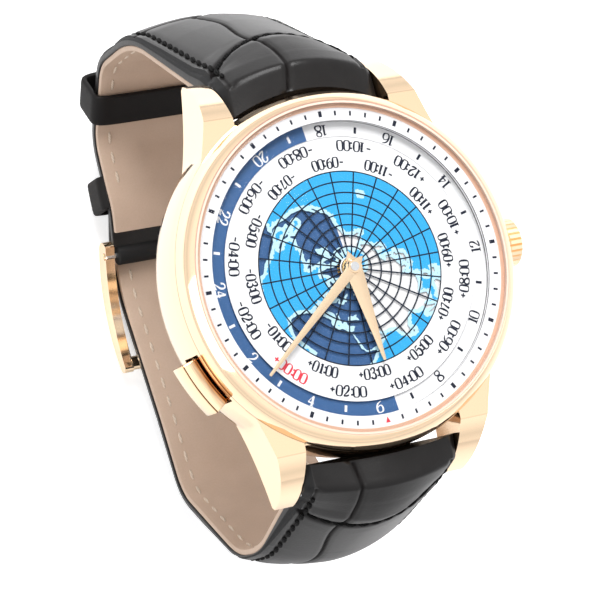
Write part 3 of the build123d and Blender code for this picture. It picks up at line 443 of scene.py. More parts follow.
marks = bmesh.new()
for minute in range(60):
    bold = minute % 5 == 0
    if minute != 30:
        length, width, reach = (0.66, 0.40, 17.3) if bold else (0.52, 0.23, 17.27)
        printed_bar(marks, length, width, (reach, flange_top + 0.005), 90 - 6 * minute)
finish_piece(marks, "minute_marks", "case", ink)

arrow = bmesh.new()
bmesh.ops.create_circle(arrow, cap_ends=True, segments=3, radius=0.42)
bmesh.ops.scale(arrow, vec=(0.75, 1.05, 1), verts=arrow.verts)
raise_copy(arrow, 0.02)
bmesh.ops.translate(arrow, vec=(0, -17.28, flange_top), verts=arrow.verts)
finish_piece(arrow, "six_marker", "case", red_ink)

# Figures. Every number on the discs is drawn as a sign painter would, from
# strokes that swell and thin, because the real ones are a seriffed print.
thin, mean, full = 0.034, 0.064, 0.100
strokes = {
    "0": [
        [(0.26, 1.04, thin), (0.02, 1.0, mean), (-0.02, 0.5, full), (0.02, 0.0, mean),
         (0.26, -0.04, thin), (0.5, 0.0, mean), (0.54, 0.5, full), (0.5, 1.0, mean), (0.26, 1.04, thin)],
    ],
    "1": [
        [(0.26, 0.98, full), (0.26, 0.02, full)],
        [(0.06, 0.84, thin), (0.26, 0.98, thin)],
        [(0.07, 0.0, thin), (0.45, 0.0, thin)],
    ],
    "2": [
        [(0.05, 0.7, full), (0.02, 1.0, mean), (0.46, 1.12, mean), (0.5, 0.66, full), (0.28, 0.36, mean),
         (0.02, 0.04, thin)],
        [(0.03, 0.03, mean), (0.46, 0.03, full), (0.5, 0.2, thin)],
    ],
    "3": [
        [(0.06, 0.82, full), (0.1, 1.06, thin), (0.5, 1.04, full), (0.44, 0.56, mean),
         (0.16, 0.53, thin)],
        [(0.16, 0.53, thin), (0.5, 0.58, mean), (0.54, -0.02, full), (0.12, -0.06, mean),
         (0.04, 0.16, full)],
    ],
    "4": [
        [(0.35, 0.98, thin), (0.01, 0.3, thin)],
        [(0.01, 0.29, mean), (0.52, 0.29, mean)],
        [(0.37, 0.97, full), (0.37, 0.02, full)],
        [(0.22, 0.0, thin), (0.52, 0.0, thin)],
    ],
    "5": [
        [(0.12, 0.96, mean), (0.34, 0.97, mean), (0.48, 1.03, thin)],
        [(0.12, 0.97, thin), (0.07, 0.54, thin)],
        [(0.07, 0.54, thin), (0.3, 0.74, mean), (0.56, 0.5, full), (0.5, -0.04, full),
         (0.1, -0.08, mean), (0.04, 0.14, full)],
    ],
    "6": [
        [(0.46, 1.0, thin), (0.14, 0.92, mean), (-0.02, 0.45, full), (0.04, -0.04, mean),
         (0.34, -0.06, thin), (0.54, 0.1, full), (0.5, 0.58, mean), (0.24, 0.66, thin),
         (0.05, 0.42, thin)],
    ],
    "7": [
        [(0.04, 0.8, thin), (0.06, 0.96, mean), (0.5, 0.96, mean)],
        [(0.49, 0.95, thin), (0.3, 0.5, mean), (0.2, 0.0, full)],
    ],
    "8": [
        [(0.26, 0.55, full), (0.02, 0.68, mean), (0.04, 1.0, mean), (0.26, 1.06, thin),
         (0.47, 0.98, mean), (0.5, 0.7, mean), (0.26, 0.55, full), (0.0, 0.4, mean), (0.0, 0.02, full),
         (0.26, -0.06, thin), (0.54, 0.02, full), (0.52, 0.38, mean), (0.26, 0.55, full)],
    ],
    "+": [[(0.05, 0.5, mean), (0.47, 0.5, mean)], [(0.26, 0.74, mean), (0.26, 0.26, mean)]],
    "-": [[(0.07, 0.5, mean), (0.45, 0.5, mean)]],
    ":": [[(0.13, 0.64, full), (0.13, 0.82, full)], [(0.13, 0.1, full), (0.13, 0.28, full)]],
}
strokes["9"] = [[(0.52 - a, 1 - b, w) for a, b, w in stroke] for stroke in strokes["6"]]
advance = {":": 0.28, "1": 0.5}


def mesh_of(drawn):
    """The mesh that this object makes, with its modifiers; the object itself is removed."""
    bpy.context.scene.collection.objects.link(drawn)
    bpy.context.view_layer.update()
    made = bpy.data.meshes.new_from_object(drawn.evaluated_get(bpy.context.evaluated_depsgraph_get()))
    bpy.data.objects.remove(drawn)
    return made


def figures(bm, text, size, radius, degrees, top, stretch, heavy):
    """Text of this size round the dial's centre at this radius, its foot outwards, at height top."""
    data = bpy.data.curves.new("figure", "CURVE")
    data.dimensions = "3D"
    data.bevel_depth, data.bevel_resolution, data.use_fill_caps = 1.0, 0, True
    pen = 0.0
    for sign in text:
        for stroke in strokes[sign]:
            spline = data.splines.new("NURBS")
            spline.points.add(len(stroke) - 1)
            for point, (a, b, width) in zip(spline.points, stroke):
                point.co, point.radius = (pen + a * stretch, b, 0, 1), width * heavy
            spline.order_u, spline.use_endpoint_u, spline.resolution_u = 3, True, 4
        pen += advance.get(sign, 0.66) * stretch
    middle = (pen - 0.1 * stretch) / 2
    before = len(bm.verts)
    bm.from_mesh(mesh_of(bpy.data.objects.new("figure", data)))
    bm.verts.ensure_lookup_table()
    for vert in bm.verts[before:]:
        reach = radius - (vert.co.y - 0.5) * size
        angle = math.radians(degrees) + (vert.co.x - middle) * size / radius
        vert.co = (reach * math.cos(angle), reach * math.sin(angle), top + vert.co.z * 0.12)


# Day and night disc. A white lacquered disc with a blue night half, seen as the
# 24 hour ring round the map and through the map's land. It turns once a day.
hours_disc = Finish("day_night_lacquer")
x, y, z = hours_disc.place()
speck = hours_disc.noise(hours_disc.joined(x, y, z), 3.0)
midnight = math.radians(187)
night = (x * math.cos(midnight) + y * math.sin(midnight)) > 0.0
blue = hours_disc.mix(speck, (0.044, 0.114, 0.270, 1), (0.058, 0.140, 0.315, 1))
white = hours_disc.mix(speck, (0.86, 0.86, 0.87, 1), (0.91, 0.91, 0.91, 1))
hours_disc.set(Base_Color=hours_disc.mix(night, white, blue), Roughness=0.32 + speck * 0.1)
hours_disc.set(Specular_IOR_Level=0.2)
polished("day_night_disc", hours_disc, 30)

white_ink = grained("white_ink", 9.0, (0.82, 0.82, 0.84, 1), (0.93, 0.93, 0.93, 1), 0.4)
hours_top = 8.9
night_print, day_print = bmesh.new(), bmesh.new()
for hour in range(1, 25):
    degrees = 179.5 + 15 * hour
    printed = night_print if hour <= 6 or hour >= 19 else day_print
    if hour % 2:
        printed_bar(printed, 0.72, 0.3, (15.62, hours_top + 0.005), degrees)
    else:
        figures(printed, str(hour), 1.15, 15.6, degrees, hours_top + 0.01, 1.15, 1.05)
finish_piece(night_print, "night_hours", "day_night_disc", white_ink)
finish_piece(day_print, "day_hours", "day_night_disc", ink)

# World disc. A clear sapphire disc over the day and night disc, printed on its
# underside: a white rim with the hour offsets, and a blue sea round clear land, so
# that the land shows day or night. The map looks down on the north pole.
land_outlines = [
    [
        (-168, 66), (-165, 68.5), (-156, 71.3), (-141, 69.6), (-128, 70), (-115, 68.5), (-108, 68),
        (-95, 68), (-94, 72), (-90, 69), (-82, 68), (-86, 66), (-94, 61), (-93, 58.5), (-85, 55.5),
        (-82, 52), (-79.5, 51.5), (-77, 56), (-78, 62), (-70, 61), (-65, 59), (-61, 56), (-56, 52.5),
        (-60, 50), (-66, 50), (-65, 47), (-61, 46), (-66, 43.5), (-70, 43), (-70, 41.5), (-74, 40.5),
        (-76, 37), (-76, 35), (-81, 31.5), (-80, 26), (-81.5, 25.5), (-83, 29), (-88, 30.3), (-94, 29.5),
        (-97.5, 27), (-97.5, 22), (-95, 18.5), (-91, 18.7), (-90, 21), (-87, 21.3), (-88.5, 16),
        (-84, 15.5), (-83.5, 11), (-80, 9), (-77, 8.5), (-80, 7.5), (-83, 8.5), (-86, 11), (-92, 14.5),
        (-97, 15.8), (-105, 20), (-106, 23), (-109, 26), (-112.5, 31), (-114.5, 31), (-110.5, 24.5),
        (-112, 25), (-115, 29), (-117.5, 33), (-121, 35), (-124, 40), (-124.5, 47), (-130, 54),
        (-135, 58.5), (-146, 61), (-152, 59.5), (-158, 56.5), (-164, 54.8), (-158, 58.5), (-162, 60),
        (-165, 62), (-161, 64.5),
    ],
    [
        (-77, 8), (-72, 12), (-62, 10.5), (-57, 6), (-51, 4), (-49, 0), (-44, -2.5), (-38, -4),
        (-35, -8), (-60, -12), (-80, -8), (-81, -4), (-80, 1), (-77.5, 4),
    ],
    [
        (-73, 78.5), (-60, 82), (-32, 83.5), (-18, 80), (-20, 74), (-25, 70.5), (-40, 65), (-43, 60),
        (-48, 61), (-53, 66), (-54, 70), (-58, 75), (-68, 76),
    ],
    [(-62, 66.5), (-68, 70), (-80, 73.8), (-88, 73), (-85, 70), (-73, 66), (-65, 62)],
    [(-90, 76.5), (-78, 76.5), (-70, 80), (-62, 82.5), (-80, 83), (-92, 81), (-86, 79)],
    [(-117, 70), (-105, 68.7), (-102, 69.5), (-105, 72.8), (-115, 73.3)],
    [(-125, 72), (-120, 71.5), (-116, 73), (-122, 74.3)],
    [(-98, 76), (-90, 75.8), (-80, 75.2), (-92, 74.5)],
    [
        (5, 58.5), (5, 62), (14, 68), (25, 71), (31, 70), (41, 67), (35, 64.5), (38, 64), (44, 66),
        (44, 68.3), (54, 68.5), (60, 69.5), (67, 69), (68, 73), (73, 71.5), (80, 73), (87, 75),
        (104, 77.7), (113, 74), (127, 73), (140, 72.5), (160, 70), (170, 69.5), (180, 69), (190, 66),
        (179, 62.5), (170, 60), (163, 58), (162, 55), (157, 51.5), (156, 57), (163, 61.5), (155, 59.5),
        (143, 59.3), (136, 54.5), (141, 53), (140, 48), (132, 43), (129.5, 41), (127.5, 39.5),
        (129.3, 36), (126.5, 34.5), (126, 37.5), (121.5, 39), (118, 39), (122, 37), (119.5, 35),
        (122, 31), (120, 26), (114, 22.3), (108, 21.5), (106, 19.5), (109, 13), (107, 10.5), (105, 9),
        (101, 13), (100, 9.5), (103.5, 1.5), (101, 3), (98, 8.5), (98.5, 13), (94, 16), (91, 22.5),
        (87, 21.5), (80.5, 15.5), (80, 12), (77.5, 8), (73, 16.5), (72.5, 21.5), (67, 25), (61.5, 25.2),
        (57, 27), (51, 28), (48, 30), (50, 26.5), (51.5, 25), (54.5, 24.3), (56.5, 26), (59.5, 22.5),
        (55, 17.5), (52, 15.5), (45, 12.8), (43, 13), (39, 21), (35, 28), (34.3, 28), (32.5, 30),
        (33, 28.5), (37.2, 21), (39.5, 15.5), (43, 11.8), (51, 12), (46, 3), (42, -1), (40, -4),
        (39.5, -10), (12, -10), (9, 0), (9.5, 4), (5, 4.5), (-2, 5), (-8, 4.5), (-13, 8), (-17, 12),
        (-17, 15), (-16.5, 21), (-13, 27.5), (-9.5, 31), (-6, 35.5), (0, 35.8), (10.5, 37.2), (11, 34),
        (15, 32.3), (20, 31), (23, 32.5), (29, 31), (32.3, 31.3), (34.5, 32), (36, 36.5), (30.5, 36.5),
        (27.5, 37), (26.3, 40), (29, 41), (35, 42), (41.5, 41.5), (38, 44.5), (39, 47), (35, 46),
        (33.5, 44.5), (30.5, 46), (28, 43.5), (28.5, 41.3), (24, 40.8), (23, 38), (22.5, 36.5),
        (21, 38.5), (19.3, 41), (15, 44.5), (13.5, 45.5), (12.5, 44), (15.5, 42), (18.3, 40),
        (16.5, 38.8), (15.7, 38), (15, 40.3), (10.3, 43.5), (7, 43.5), (3.2, 43), (3, 42), (-0.3, 39.5),
        (-2, 36.8), (-5.5, 36), (-9, 37), (-9.3, 38.8), (-9, 43.2), (-1.8, 43.4), (-1.3, 46),
        (-4.7, 48.3), (1.5, 50), (4, 52), (8.3, 54), (8.2, 57), (10.5, 57.5), (10.5, 54.2), (14, 54),
        (19, 54.5), (21.5, 57.5), (24, 57.5), (23.5, 59.3), (29.5, 60), (22.5, 60), (21.5, 61.5),
        (25, 65), (22, 65.7), (17.5, 62), (18.5, 60), (16.5, 57), (14.3, 55.5), (12.8, 56), (11, 59),
        (7, 58),
    ],
    [
        (-5.5, 50.2), (1, 51), (1.5, 52.5), (-1.5, 55), (-2, 57.5), (-5, 58.5), (-5.5, 56), (-3, 54),
        (-4.5, 53),
    ],
    [(-10, 52), (-6, 52.3), (-6, 55), (-9.5, 54)],
    [(-24, 65.5), (-22, 64), (-18, 63.5), (-14, 65), (-16, 66.5)],
    [(12, 77), (17, 77), (27, 80), (12, 79.8)],
    [(52, 71), (57, 71), (68, 77), (60, 76.3)],
    [(95, 79), (104, 79), (96, 81)],
    [(142, 46), (143.5, 49), (143, 54), (142, 53)],
    [(140, 42), (145.5, 43.5), (141.5, 45.3)],
    [
        (131, 34), (136, 33.5), (140, 35), (142, 39.5), (141, 41.3), (139.5, 38.5), (136.5, 37),
        (132.5, 35.3),
    ],
    [(130, 31.3), (132, 33.5), (130, 33.5)],
    [(120, 23), (121.5, 25), (121, 22.3)],
    [(120, 14), (122, 14), (122, 18.5), (120.5, 18)],
    [(122, 7), (126, 6.5), (126, 9.5), (123.5, 8.5)],
    [(109, 1.5), (113, 3.2), (117, 7), (119, 5), (118, 1), (117, -4), (110, -3)],
    [(95.3, 5.6), (98, 4), (104, -1), (106, -6), (101, -2)],
    [(119.5, -3), (120.5, 1), (125, 1.5), (121, 0.3), (122, -4)],
    [(80, 6.2), (81.8, 7), (80.5, 9.7)],
    [(-84.8, 22), (-80, 23.2), (-74.3, 20.2), (-77.5, 19.9), (-82, 22.5)],
    [(-74, 18.5), (-68.5, 18.4), (-70, 19.9), (-73, 19.9)],
    [(-59, 48), (-53, 47), (-56, 51.3)],
    [(-156.5, 19), (-154.8, 19.5), (-156, 21)],
    [(12.5, 37.8), (15.5, 38.2), (15, 36.8)],
]
inland_seas = [[(50, 37), (54, 37), (53, 41), (51, 45), (53, 46.5), (48.5, 46), (47.5, 42.5), (49.5, 40)]]
equator, pole_radius, disc_radius = 10.88, 1.3, 14.8
disc_top, disc_thick = 9.45, 0.35
zero_turn = 225


def on_disc(outline):
    """Longitude and latitude as places on the disc, in millimetres."""
    points = np.array(outline, float)
    reach = (90 - points[:, 1]) / 90 * equator
    turn = np.radians(zero_turn + points[:, 0])
    return np.stack([reach * np.cos(turn), reach * np.sin(turn)], 1)


def shore(places):
    """How far each place is from the nearest coast, above 0 at sea and below 0 on land."""
    nearest = np.full(len(places), 99.0)
    inside = np.zeros(len(places), int)
    for outline in land_outlines + inland_seas:
        ends = on_disc(outline)
        for a, b in zip(ends, np.roll(ends, -1, 0)):
            run = b - a
            share = np.clip(((places - a) @ run) / (run @ run), 0, 1)
            nearest = np.minimum(nearest, np.linalg.norm(places - a - share[:, None] * run, axis=1))
            if a[1] != b[1]:
                crosses = (a[1] > places[:, 1]) != (b[1] > places[:, 1])
                inside += crosses & (places[:, 0] < a[0] + (places[:, 1] - a[1]) / (b[1] - a[1]) * run[0])
    return np.where(inside % 2 == 1, -nearest, nearest)


map_rows = np.concatenate([np.linspace(1.2, 11.0, 78), [12.0, 13.5, disc_radius]])
disc = bmesh.new()
bmesh.ops.create_grid(disc, x_segments=420, y_segments=len(map_rows) - 1, size=1)
for vert in disc.verts:
    row = (vert.co.y + 1) / 2 * (len(map_rows) - 1)
    reach = map_rows[int(round(row))]
    turn = (vert.co.x + 1) * math.pi
    vert.co = (reach * math.cos(turn), reach * math.sin(turn), disc_top)
bmesh.ops.remove_doubles(disc, verts=disc.verts, dist=1e-4)
coast_layer = disc.verts.layers.float.new("coast")
distances = shore(np.array([(vert.co.x, vert.co.y) for vert in disc.verts]))
for vert, distance in zip(disc.verts, distances):
    vert[coast_layer] = distance
raise_copy(disc, -disc_thick)

map_print = Finish("world_map")
x, y, z = map_print.place()
radius = radius_of(x, y)
turn = y.angle_to(x)
coast = map_print.node("ShaderNodeAttribute", {"attribute_name": "coast"}, (), 2)
flat = map_print.joined(x, y, 0.0)
ragged = map_print.noise(flat, 2.2, 4.0, 0.65)
shelf_edge = coast + (0.5 - ragged) * 0.9
blot = map_print.noise(flat, 3.4, 3.0, 0.7)
sea = map_print.mix(blot, (0.030, 0.36, 0.72, 1), (0.048, 0.42, 0.80, 1))
shelf = map_print.mix(blot > 0.66, (0.50, 0.75, 0.86, 1), (0.10, 0.20, 0.28, 1))
printed_sea = map_print.mix(shelf_edge < 0.42, sea, shelf)
parallel = abs(((radius * (9 / equator)) * math.pi).wave()) < 0.21
meridian = abs(((turn - math.radians(zero_turn)) * 12.0).wave()) * radius < 0.98
grid = ((parallel + meridian) > 0.5) * (radius < equator) * (radius > pole_radius + 0.05)
rim = radius > equator - 0.03
border = abs(radius - equator) < 0.06
pole_ring = radius < pole_radius
rim_white = map_print.mix(blot, (0.85, 0.85, 0.86, 1), (0.91, 0.91, 0.91, 1))
tone = map_print.mix(rim + pole_ring, printed_sea, rim_white)
tone = map_print.mix((grid + border) > 0.5, tone, (0.005, 0.012, 0.028, 1))
inked = ((coast + (0.5 - ragged) * 0.25 > 0.0) + rim + pole_ring + grid + border) > 0.5
underside = z < disc_top - disc_thick + 0.1
map_print.set(Base_Color=tone, Roughness=0.28 + blot * 0.12, Alpha=inked * underside)
map_print.set(Specular_IOR_Level=0.2)
finish_piece(disc, "world_disc_print", "world_disc", map_print, ["world_disc"], 30)

offsets, zero_offset = bmesh.new(), bmesh.new()
for offset in range(-11, 13):
    label = f"{'-' if offset < 0 else '+'}{abs(offset):02d}:00"
    printed = offsets if offset else zero_offset
    reach, stretch = (11.88, 1.0) if offset % 2 else (13.75, 1.14)
    height = disc_top - disc_thick + 0.012
    figures(printed, label, 1.1, reach, zero_turn + 15 * offset, height, stretch, 1.22)
finish_piece(offsets, "hour_offsets", "world_disc", ink)
finish_piece(zero_offset, "zero_offset", "world_disc", red_ink)

# Dial plate. A plain silvered brass plate that lies on the movement under the
# discs and hardly shows.
silvered = grained(
    "silvered_plate", 5.0, (0.62, 0.62, 0.60, 1), (0.72, 0.72, 0.70, 1), 0.35, 0.1, Metallic=0.6
)
polished("dial_plate", silvered)

# Hands. Gold dauphine hands with a ridge down the middle and a short pointed
# tail, pressed on their pipes; the steel pinion's end shows in the middle.
# Painted shade: the hands get a darker copy of the case gold, not a different alloy.
hand_gold_shaded = rose_gold("rose_gold_hands_shaded", 0.08, 0.78)


def dauphine(name, node, length, tail, half_width, turn, top, thick, hub):
    """One ridged hand, pointing clockwise from 12 by turn degrees."""
    bm = bmesh.new()
    side = [
        (0.0, length), (0.16, length - 0.05), (half_width, hub * 1.15), (hub * 0.95, 0.3),
        (hub * 0.75, -hub * 0.55), (0.22, -tail * 0.8), (0.0, -tail),
    ]
    outline = side + [(-a, b) for a, b in reversed(side[1:-1])]
    bm.faces.new([bm.verts.new((a, b, top - 0.15)) for a, b in outline])
    for place, normal in (((0, 0, 0), (1, 0, 0)), ((0, 0.1, 0), (0, 1, 0))):
        geom = bm.verts[:] + bm.edges[:] + bm.faces[:]
        bmesh.ops.bisect_plane(bm, geom=geom, plane_co=place, plane_no=normal, dist=1e-5)
    lower = raise_copy(bm, 0.0)
    for vert in bm.verts:
        if vert in lower:
            vert.co.z = top - thick
        elif abs(vert.co.x) < 1e-4 and -tail + 0.01 < vert.co.y < length - 0.01:
            vert.co.z = top
    boss = bmesh.ops.create_cone(
        bm, cap_ends=True, segments=40, radius1=hub, radius2=hub * 0.9, depth=thick
    )["verts"]
    bmesh.ops.translate(bm, vec=(0, 0, top - thick / 2 + 0.015), verts=boss)
    turn_round(bm, "Z", -turn, bm.verts)
    finish_piece(bm, name, body_of_node[node], hand_gold_shaded, [node], 20)


dauphine("hour_hand_ridged", "hour_hand", 10.8, 1.9, 1.0, 172.9, 9.88, 0.25, 1.05)
dauphine("minute_hand_ridged", "minute_hand", 16.0, 1.6, 0.62, 231.3, 10.18, 0.2, 0.8)

# Movement. An automatic movement with a striped, rhodium plated bridge side,
# ruby bearings, gilt wheels and a tungsten rimmed rotor, all behind the back.


def plated(name, first, second, roughness, metal=1.0, stripes=0.0, brushed=0.0):
    """A metal with fine tool marks: stripes in millimetres apart, or brushed rings."""
    finish = Finish(name)
    x, y, z = finish.place()
    fine = finish.noise(finish.joined(x * 4.0, y * 4.0, z * 4.0), 1.0, 5.0, 0.6)
    height = fine * 0.25
    if stripes:
        height = height + abs(((x * 0.6 + y * 0.8) * (math.pi / stripes)).wave())
    if brushed:
        height = height + (radius_of(x, y) * brushed).wave() * 0.5
    tone = finish.mix(fine, first, second)
    finish.set(Base_Color=tone, Metallic=metal, Roughness=roughness + fine * 0.12)
    return finish.set(Normal=finish.bump(height, 0.00002, 0.5))


rhodium = plated("striped_rhodium", (0.62, 0.62, 0.63, 1), (0.75, 0.75, 0.76, 1), 0.2, stripes=1.6)
steel = plated("polished_steel", (0.55, 0.56, 0.58, 1), (0.68, 0.69, 0.70, 1), 0.12)
gilt = plated("gilt_brass", (0.80, 0.58, 0.27, 1), (0.90, 0.68, 0.34, 1), 0.2, brushed=9.0)
plate_brass = plated("movement_ring_brass", (0.66, 0.60, 0.48, 1), (0.76, 0.70, 0.58, 1), 0.3, brushed=5.0)
tungsten = plated("rotor_alloy", (0.70, 0.52, 0.36, 1), (0.82, 0.62, 0.44, 1), 0.22, brushed=4.0)
blued = plated("blued_steel", (0.03, 0.06, 0.26, 1), (0.06, 0.11, 0.38, 1), 0.18)
ruby = plated("ruby", (0.55, 0.01, 0.05, 1), (0.72, 0.03, 0.09, 1), 0.1, metal=0.0)
for finish, slot, nodes in (
    (rhodium, "rhodium", ("mainplate", "barrel_bridge", "train_bridge", "balance_cock")),
    (gilt, "gear_brass", ("barrel", "centre_wheel", "third_wheel", "fourth_wheel", "balance_wheel")),
    (gilt, "gear_brass", ("minute_wheel", "hour_wheel")),
    (steel, "steel", ("escape_wheel", "pallet_fork", "ratchet_wheel", "crown_wheel", "click_and_boss")),
    (steel, "steel", ("rotor_bearing", "cannon_pinion", "winding_stem", "setting_lever")),
    (blued, "blued_steel", ("bridge_screws", "hairspring")),
    (plate_brass, "brass_ring", ("movement_ring",)),
    (tungsten, "tungsten", ("rotor",)),
    (ruby, "ruby", ("jewels",)),
):
    for node in nodes:
        polished(node, finish, 25)
polished("case_back_screws", gold_polish, 25)
for node in ("spring_bar_12", "spring_bar_6"):
    polished(node, steel, 30)

# Strap. Black large-scaled alligator leather, padded high at the lugs and thin round
# the wrist, with rolled edges, heavy black stitching and a tan calf lining.


def lengths_along(path):
    return np.concatenate([[0], np.cumsum(np.linalg.norm(np.diff(path, axis=0), axis=1))])


def rounded(points, radii, step=0.25):
    """The path through these points with its inner corners rounded, step apart."""
    points = [Vector(p) for p in points]
    out = [points[0]]
    for before, corner, after, bend in zip(points, points[1:], points[2:], radii):
        back, on = (before - corner).normalized(), (after - corner).normalized()
        half = back.angle(on) / 2
        start, end = corner + back * bend / math.tan(half), corner + on * bend / math.tan(half)
        centre = corner + (back + on).normalized() * bend / math.sin(half)
        spread = (start - centre).angle_signed(end - centre)
        count = max(2, int(abs(spread) * bend / step))
        for k in range(count + 1):
            out.append(centre + Matrix.Rotation(-spread * k / count, 2) @ (start - centre))
    out = np.array([list(p) for p in out + [points[-1]]])
    run = lengths_along(out)
    along = np.arange(0, run[-1], step)
    return np.stack([np.interp(along, run, out[:, 0]), np.interp(along, run, out[:, 1])], 1)


def nearest_on(path, other):
    """For each place on the path, the nearest place on the other path."""
    gap = np.linalg.norm(path[:, None] - other[None], axis=2)
    return other[gap.argmin(1)]


class Band:
    """A leather band between an outer and an inner path, in the plane of y and z.

    Its face stands prouder than the path down the middle and lower at the edges:
    padding lists runs, then the rise of the middle and the fall of the edges there.
    Its end is hollowed towards the round case by hug, below 0 on the 6 o'clock side.
    """

    corner_steps, paint_columns, back_columns = 5, 3, 7
    case_radius, hug_run = 20.75, 5

    def __init__(self, outer, inner, widths, lining=0.0, trim=0.0, padding=None, hug=0.0):
        self.outer = outer
        depth = nearest_on(outer, inner) - outer
        thick = np.linalg.norm(depth, axis=1)
        self.down = depth / thick[:, None]
        self.thick = thick - lining
        self.run = lengths_along(outer)
        self.half = np.interp(outer[:, 0], widths[0], widths[1]) - trim
        self.padding, self.hug = padding or ((0, 1), (0, 0), (0, 0)), hug

    def padded(self, run, share):
        """How far below the path the face is, at this share of the half width."""
        runs, rises, falls = self.padding
        rise, fall = np.interp(run, runs, rises), np.interp(run, runs, falls)
        return float(-rise + (rise + fall) * min(abs(share), 1.0) ** 1.9)

    def at(self, run, across, sink):
        """A place on the band: run along it, across it, and sink below its face."""
        sink += self.padded(run, across / max(self.half_at(run), 0.01))
        y = np.interp(run, self.run, self.outer[:, 0]) + sink * np.interp(run, self.run, self.down[:, 0])
        z = np.interp(run, self.run, self.outer[:, 1]) + sink * np.interp(run, self.run, self.down[:, 1])
        return Vector((across, y, z))

    def half_at(self, run):
        return float(np.interp(run, self.run, self.half))

    def skin(self, relief, edge_round, face_columns=64):
        """The band's closed mesh, with relief(run, across, half) sunk into its face.

        It is a grid bent round the section: the columns of the face, of one rounded
        corner, of that side's foot, of the back, and of the other foot and corner.
        """
        bends = np.linspace(0, math.pi / 2, self.corner_steps + 1)[1:]
        corner = [(math.sin(a), 1 - math.cos(a)) for a in bends]
        foot = face_columns + self.corner_steps + 1
        far_foot = foot + self.back_columns + 2
        count = far_foot + self.corner_steps
        rows = len(self.outer)
        bm = bmesh.new()
        bmesh.ops.create_grid(bm, x_segments=count, y_segments=rows - 1, size=1)
        for face in bm.faces:
            column = (face.calc_center_median().x + 1) / 2 * count
            near_side = foot - self.paint_columns < column < foot + 1
            far_side = column > count - self.paint_columns - 1
            face.material_index = int(near_side or far_side)
        lay = bm.verts.layers.float_vector.new("lay")
        for vert in bm.verts:
            column = int(round((vert.co.x + 1) / 2 * count)) % count
            row = int(round((vert.co.y + 1) / 2 * (rows - 1)))
            run, half, deep = self.run[row], self.half[row], self.thick[row]
            edge = self.padded(run, 1.0)
            bend = min(edge_round, (deep - edge) * 0.45, max(half * 0.5, 0.01))
            flat = half - bend
            sunk = 0.0
            if column <= face_columns:
                across = -flat + 2 * flat * column / face_columns
                sunk = relief(run, across, half)
                sink = self.padded(run, across / max(half, 0.01)) + sunk
            elif column < foot:
                a, b = corner[column - face_columns - 1]
                across, sink = flat + bend * a, edge + bend * b
            elif column in (foot, far_foot):
                across, sink = math.copysign(half, far_foot - column - 0.5), deep - 0.12
            elif column < far_foot:
                share = (column - foot - 1) / self.back_columns
                across, sink = (half - 0.1) * (1 - 2 * share), deep
            else:
                a, b = corner[count - 1 - column]
                across, sink = -flat - bend * a, edge + bend * b
            vert[lay] = (across, run, sunk)
            y, z = self.outer[row] + sink * self.down[row]
            hollow = self.case_radius - math.sqrt(self.case_radius**2 - across**2)
            y -= self.hug * hollow * max(0.0, 1 - run / self.hug_run)
            vert.co = (across, y, z)
        bmesh.ops.remove_doubles(bm, verts=bm.verts, dist=1e-4)
        bmesh.ops.holes_fill(bm, edges=[e for e in bm.edges if e.is_boundary], sides=0)
        return bm


def groove(distance, width, depth):
    return depth * math.exp(-((distance / width) ** 2))


def arc_run(arc, share):
    """The run of the arched seam at this share of the half width."""
    middle, bow, lean = arc
    return middle - bow * share * share - lean * share


def alligator(rows, centres, arc, inset):
    """Relief of square scales: creases across at rows and down the centres, and the stitched seams."""
    crease_width, crease_depth, scale_rise = 0.3, 0.3, 0.1
    seam_start, last_scale = 2.5, 12

    def relief(run, across, half):
        arched = arc_run(arc, across / half)
        row_edges = [0.0, arched] + [row + 0.8 * math.sin(across * 0.45 + row) for row in rows]
        sink = groove(run - arched, 0.45, 0.34)
        for edge in row_edges[2:]:
            sink += groove(run - edge, crease_width, crease_depth)
        index = sum(run > edge for edge in row_edges) - 1
        centre = centres[max(index, 0) % len(centres)]
        if run < row_edges[-1] + last_scale:
            wander = 0.6 * math.sin(run * 0.3 + index)
            sink += groove(across - centre - wander, crease_width, crease_depth)
        nearest = min(abs(run - edge) for edge in row_edges)
        sink -= scale_rise * min(nearest / 2.5, 1.0) * min(abs(across - centre) / 3.0, 1.0)
        if run > seam_start:
            seam = half - float(np.interp(run, inset[0], inset[1]))
            sink += groove(abs(across) - seam, 0.36, 0.3)
        return sink

    return relief


def closed_object(bm, name):
    """The mesh as an object, with its faces outward."""
    bmesh.ops.recalc_face_normals(bm, faces=bm.faces)
    mesh = bpy.data.meshes.new(name)
    bm.to_mesh(mesh)
    bm.free()
    return bpy.data.objects.new(name, mesh)


def pierced(bm, slots):
    """The mesh with round-ended slots cut upwards through its lowest part.

    Each slot is its lowest y, its highest y and its half width, in millimetres.
    """
    below, reach = -52.0, 16.0
    plugs = bmesh.new()
    for low, high, half in slots:
        radius = min(half, (high - low) / 2)
        x, foot, head = half - radius, low + radius, high - radius
        outline = []
        for quarter, (cx, cy) in enumerate(((x, head), (-x, head), (-x, foot), (x, foot))):
            for step in range(7):
                aim = (quarter + step / 6) * math.pi / 2
                outline.append((cx + radius * math.cos(aim), cy + radius * math.sin(aim)))
        plugs.faces.new([plugs.verts.new((a, b, below)) for a, b in dict.fromkeys(outline)])
    raise_copy(plugs, reach)
    body, cutter = closed_object(bm, "body"), closed_object(plugs, "cutter")
    bpy.context.scene.collection.objects.link(cutter)
    cut = body.modifiers.new("cut", "BOOLEAN")
    cut.object, cut.operation, cut.solver = cutter, "DIFFERENCE", "EXACT"
    out = bmesh.new()
    out.from_mesh(mesh_of(body))
    bpy.data.objects.remove(cutter)
    return out


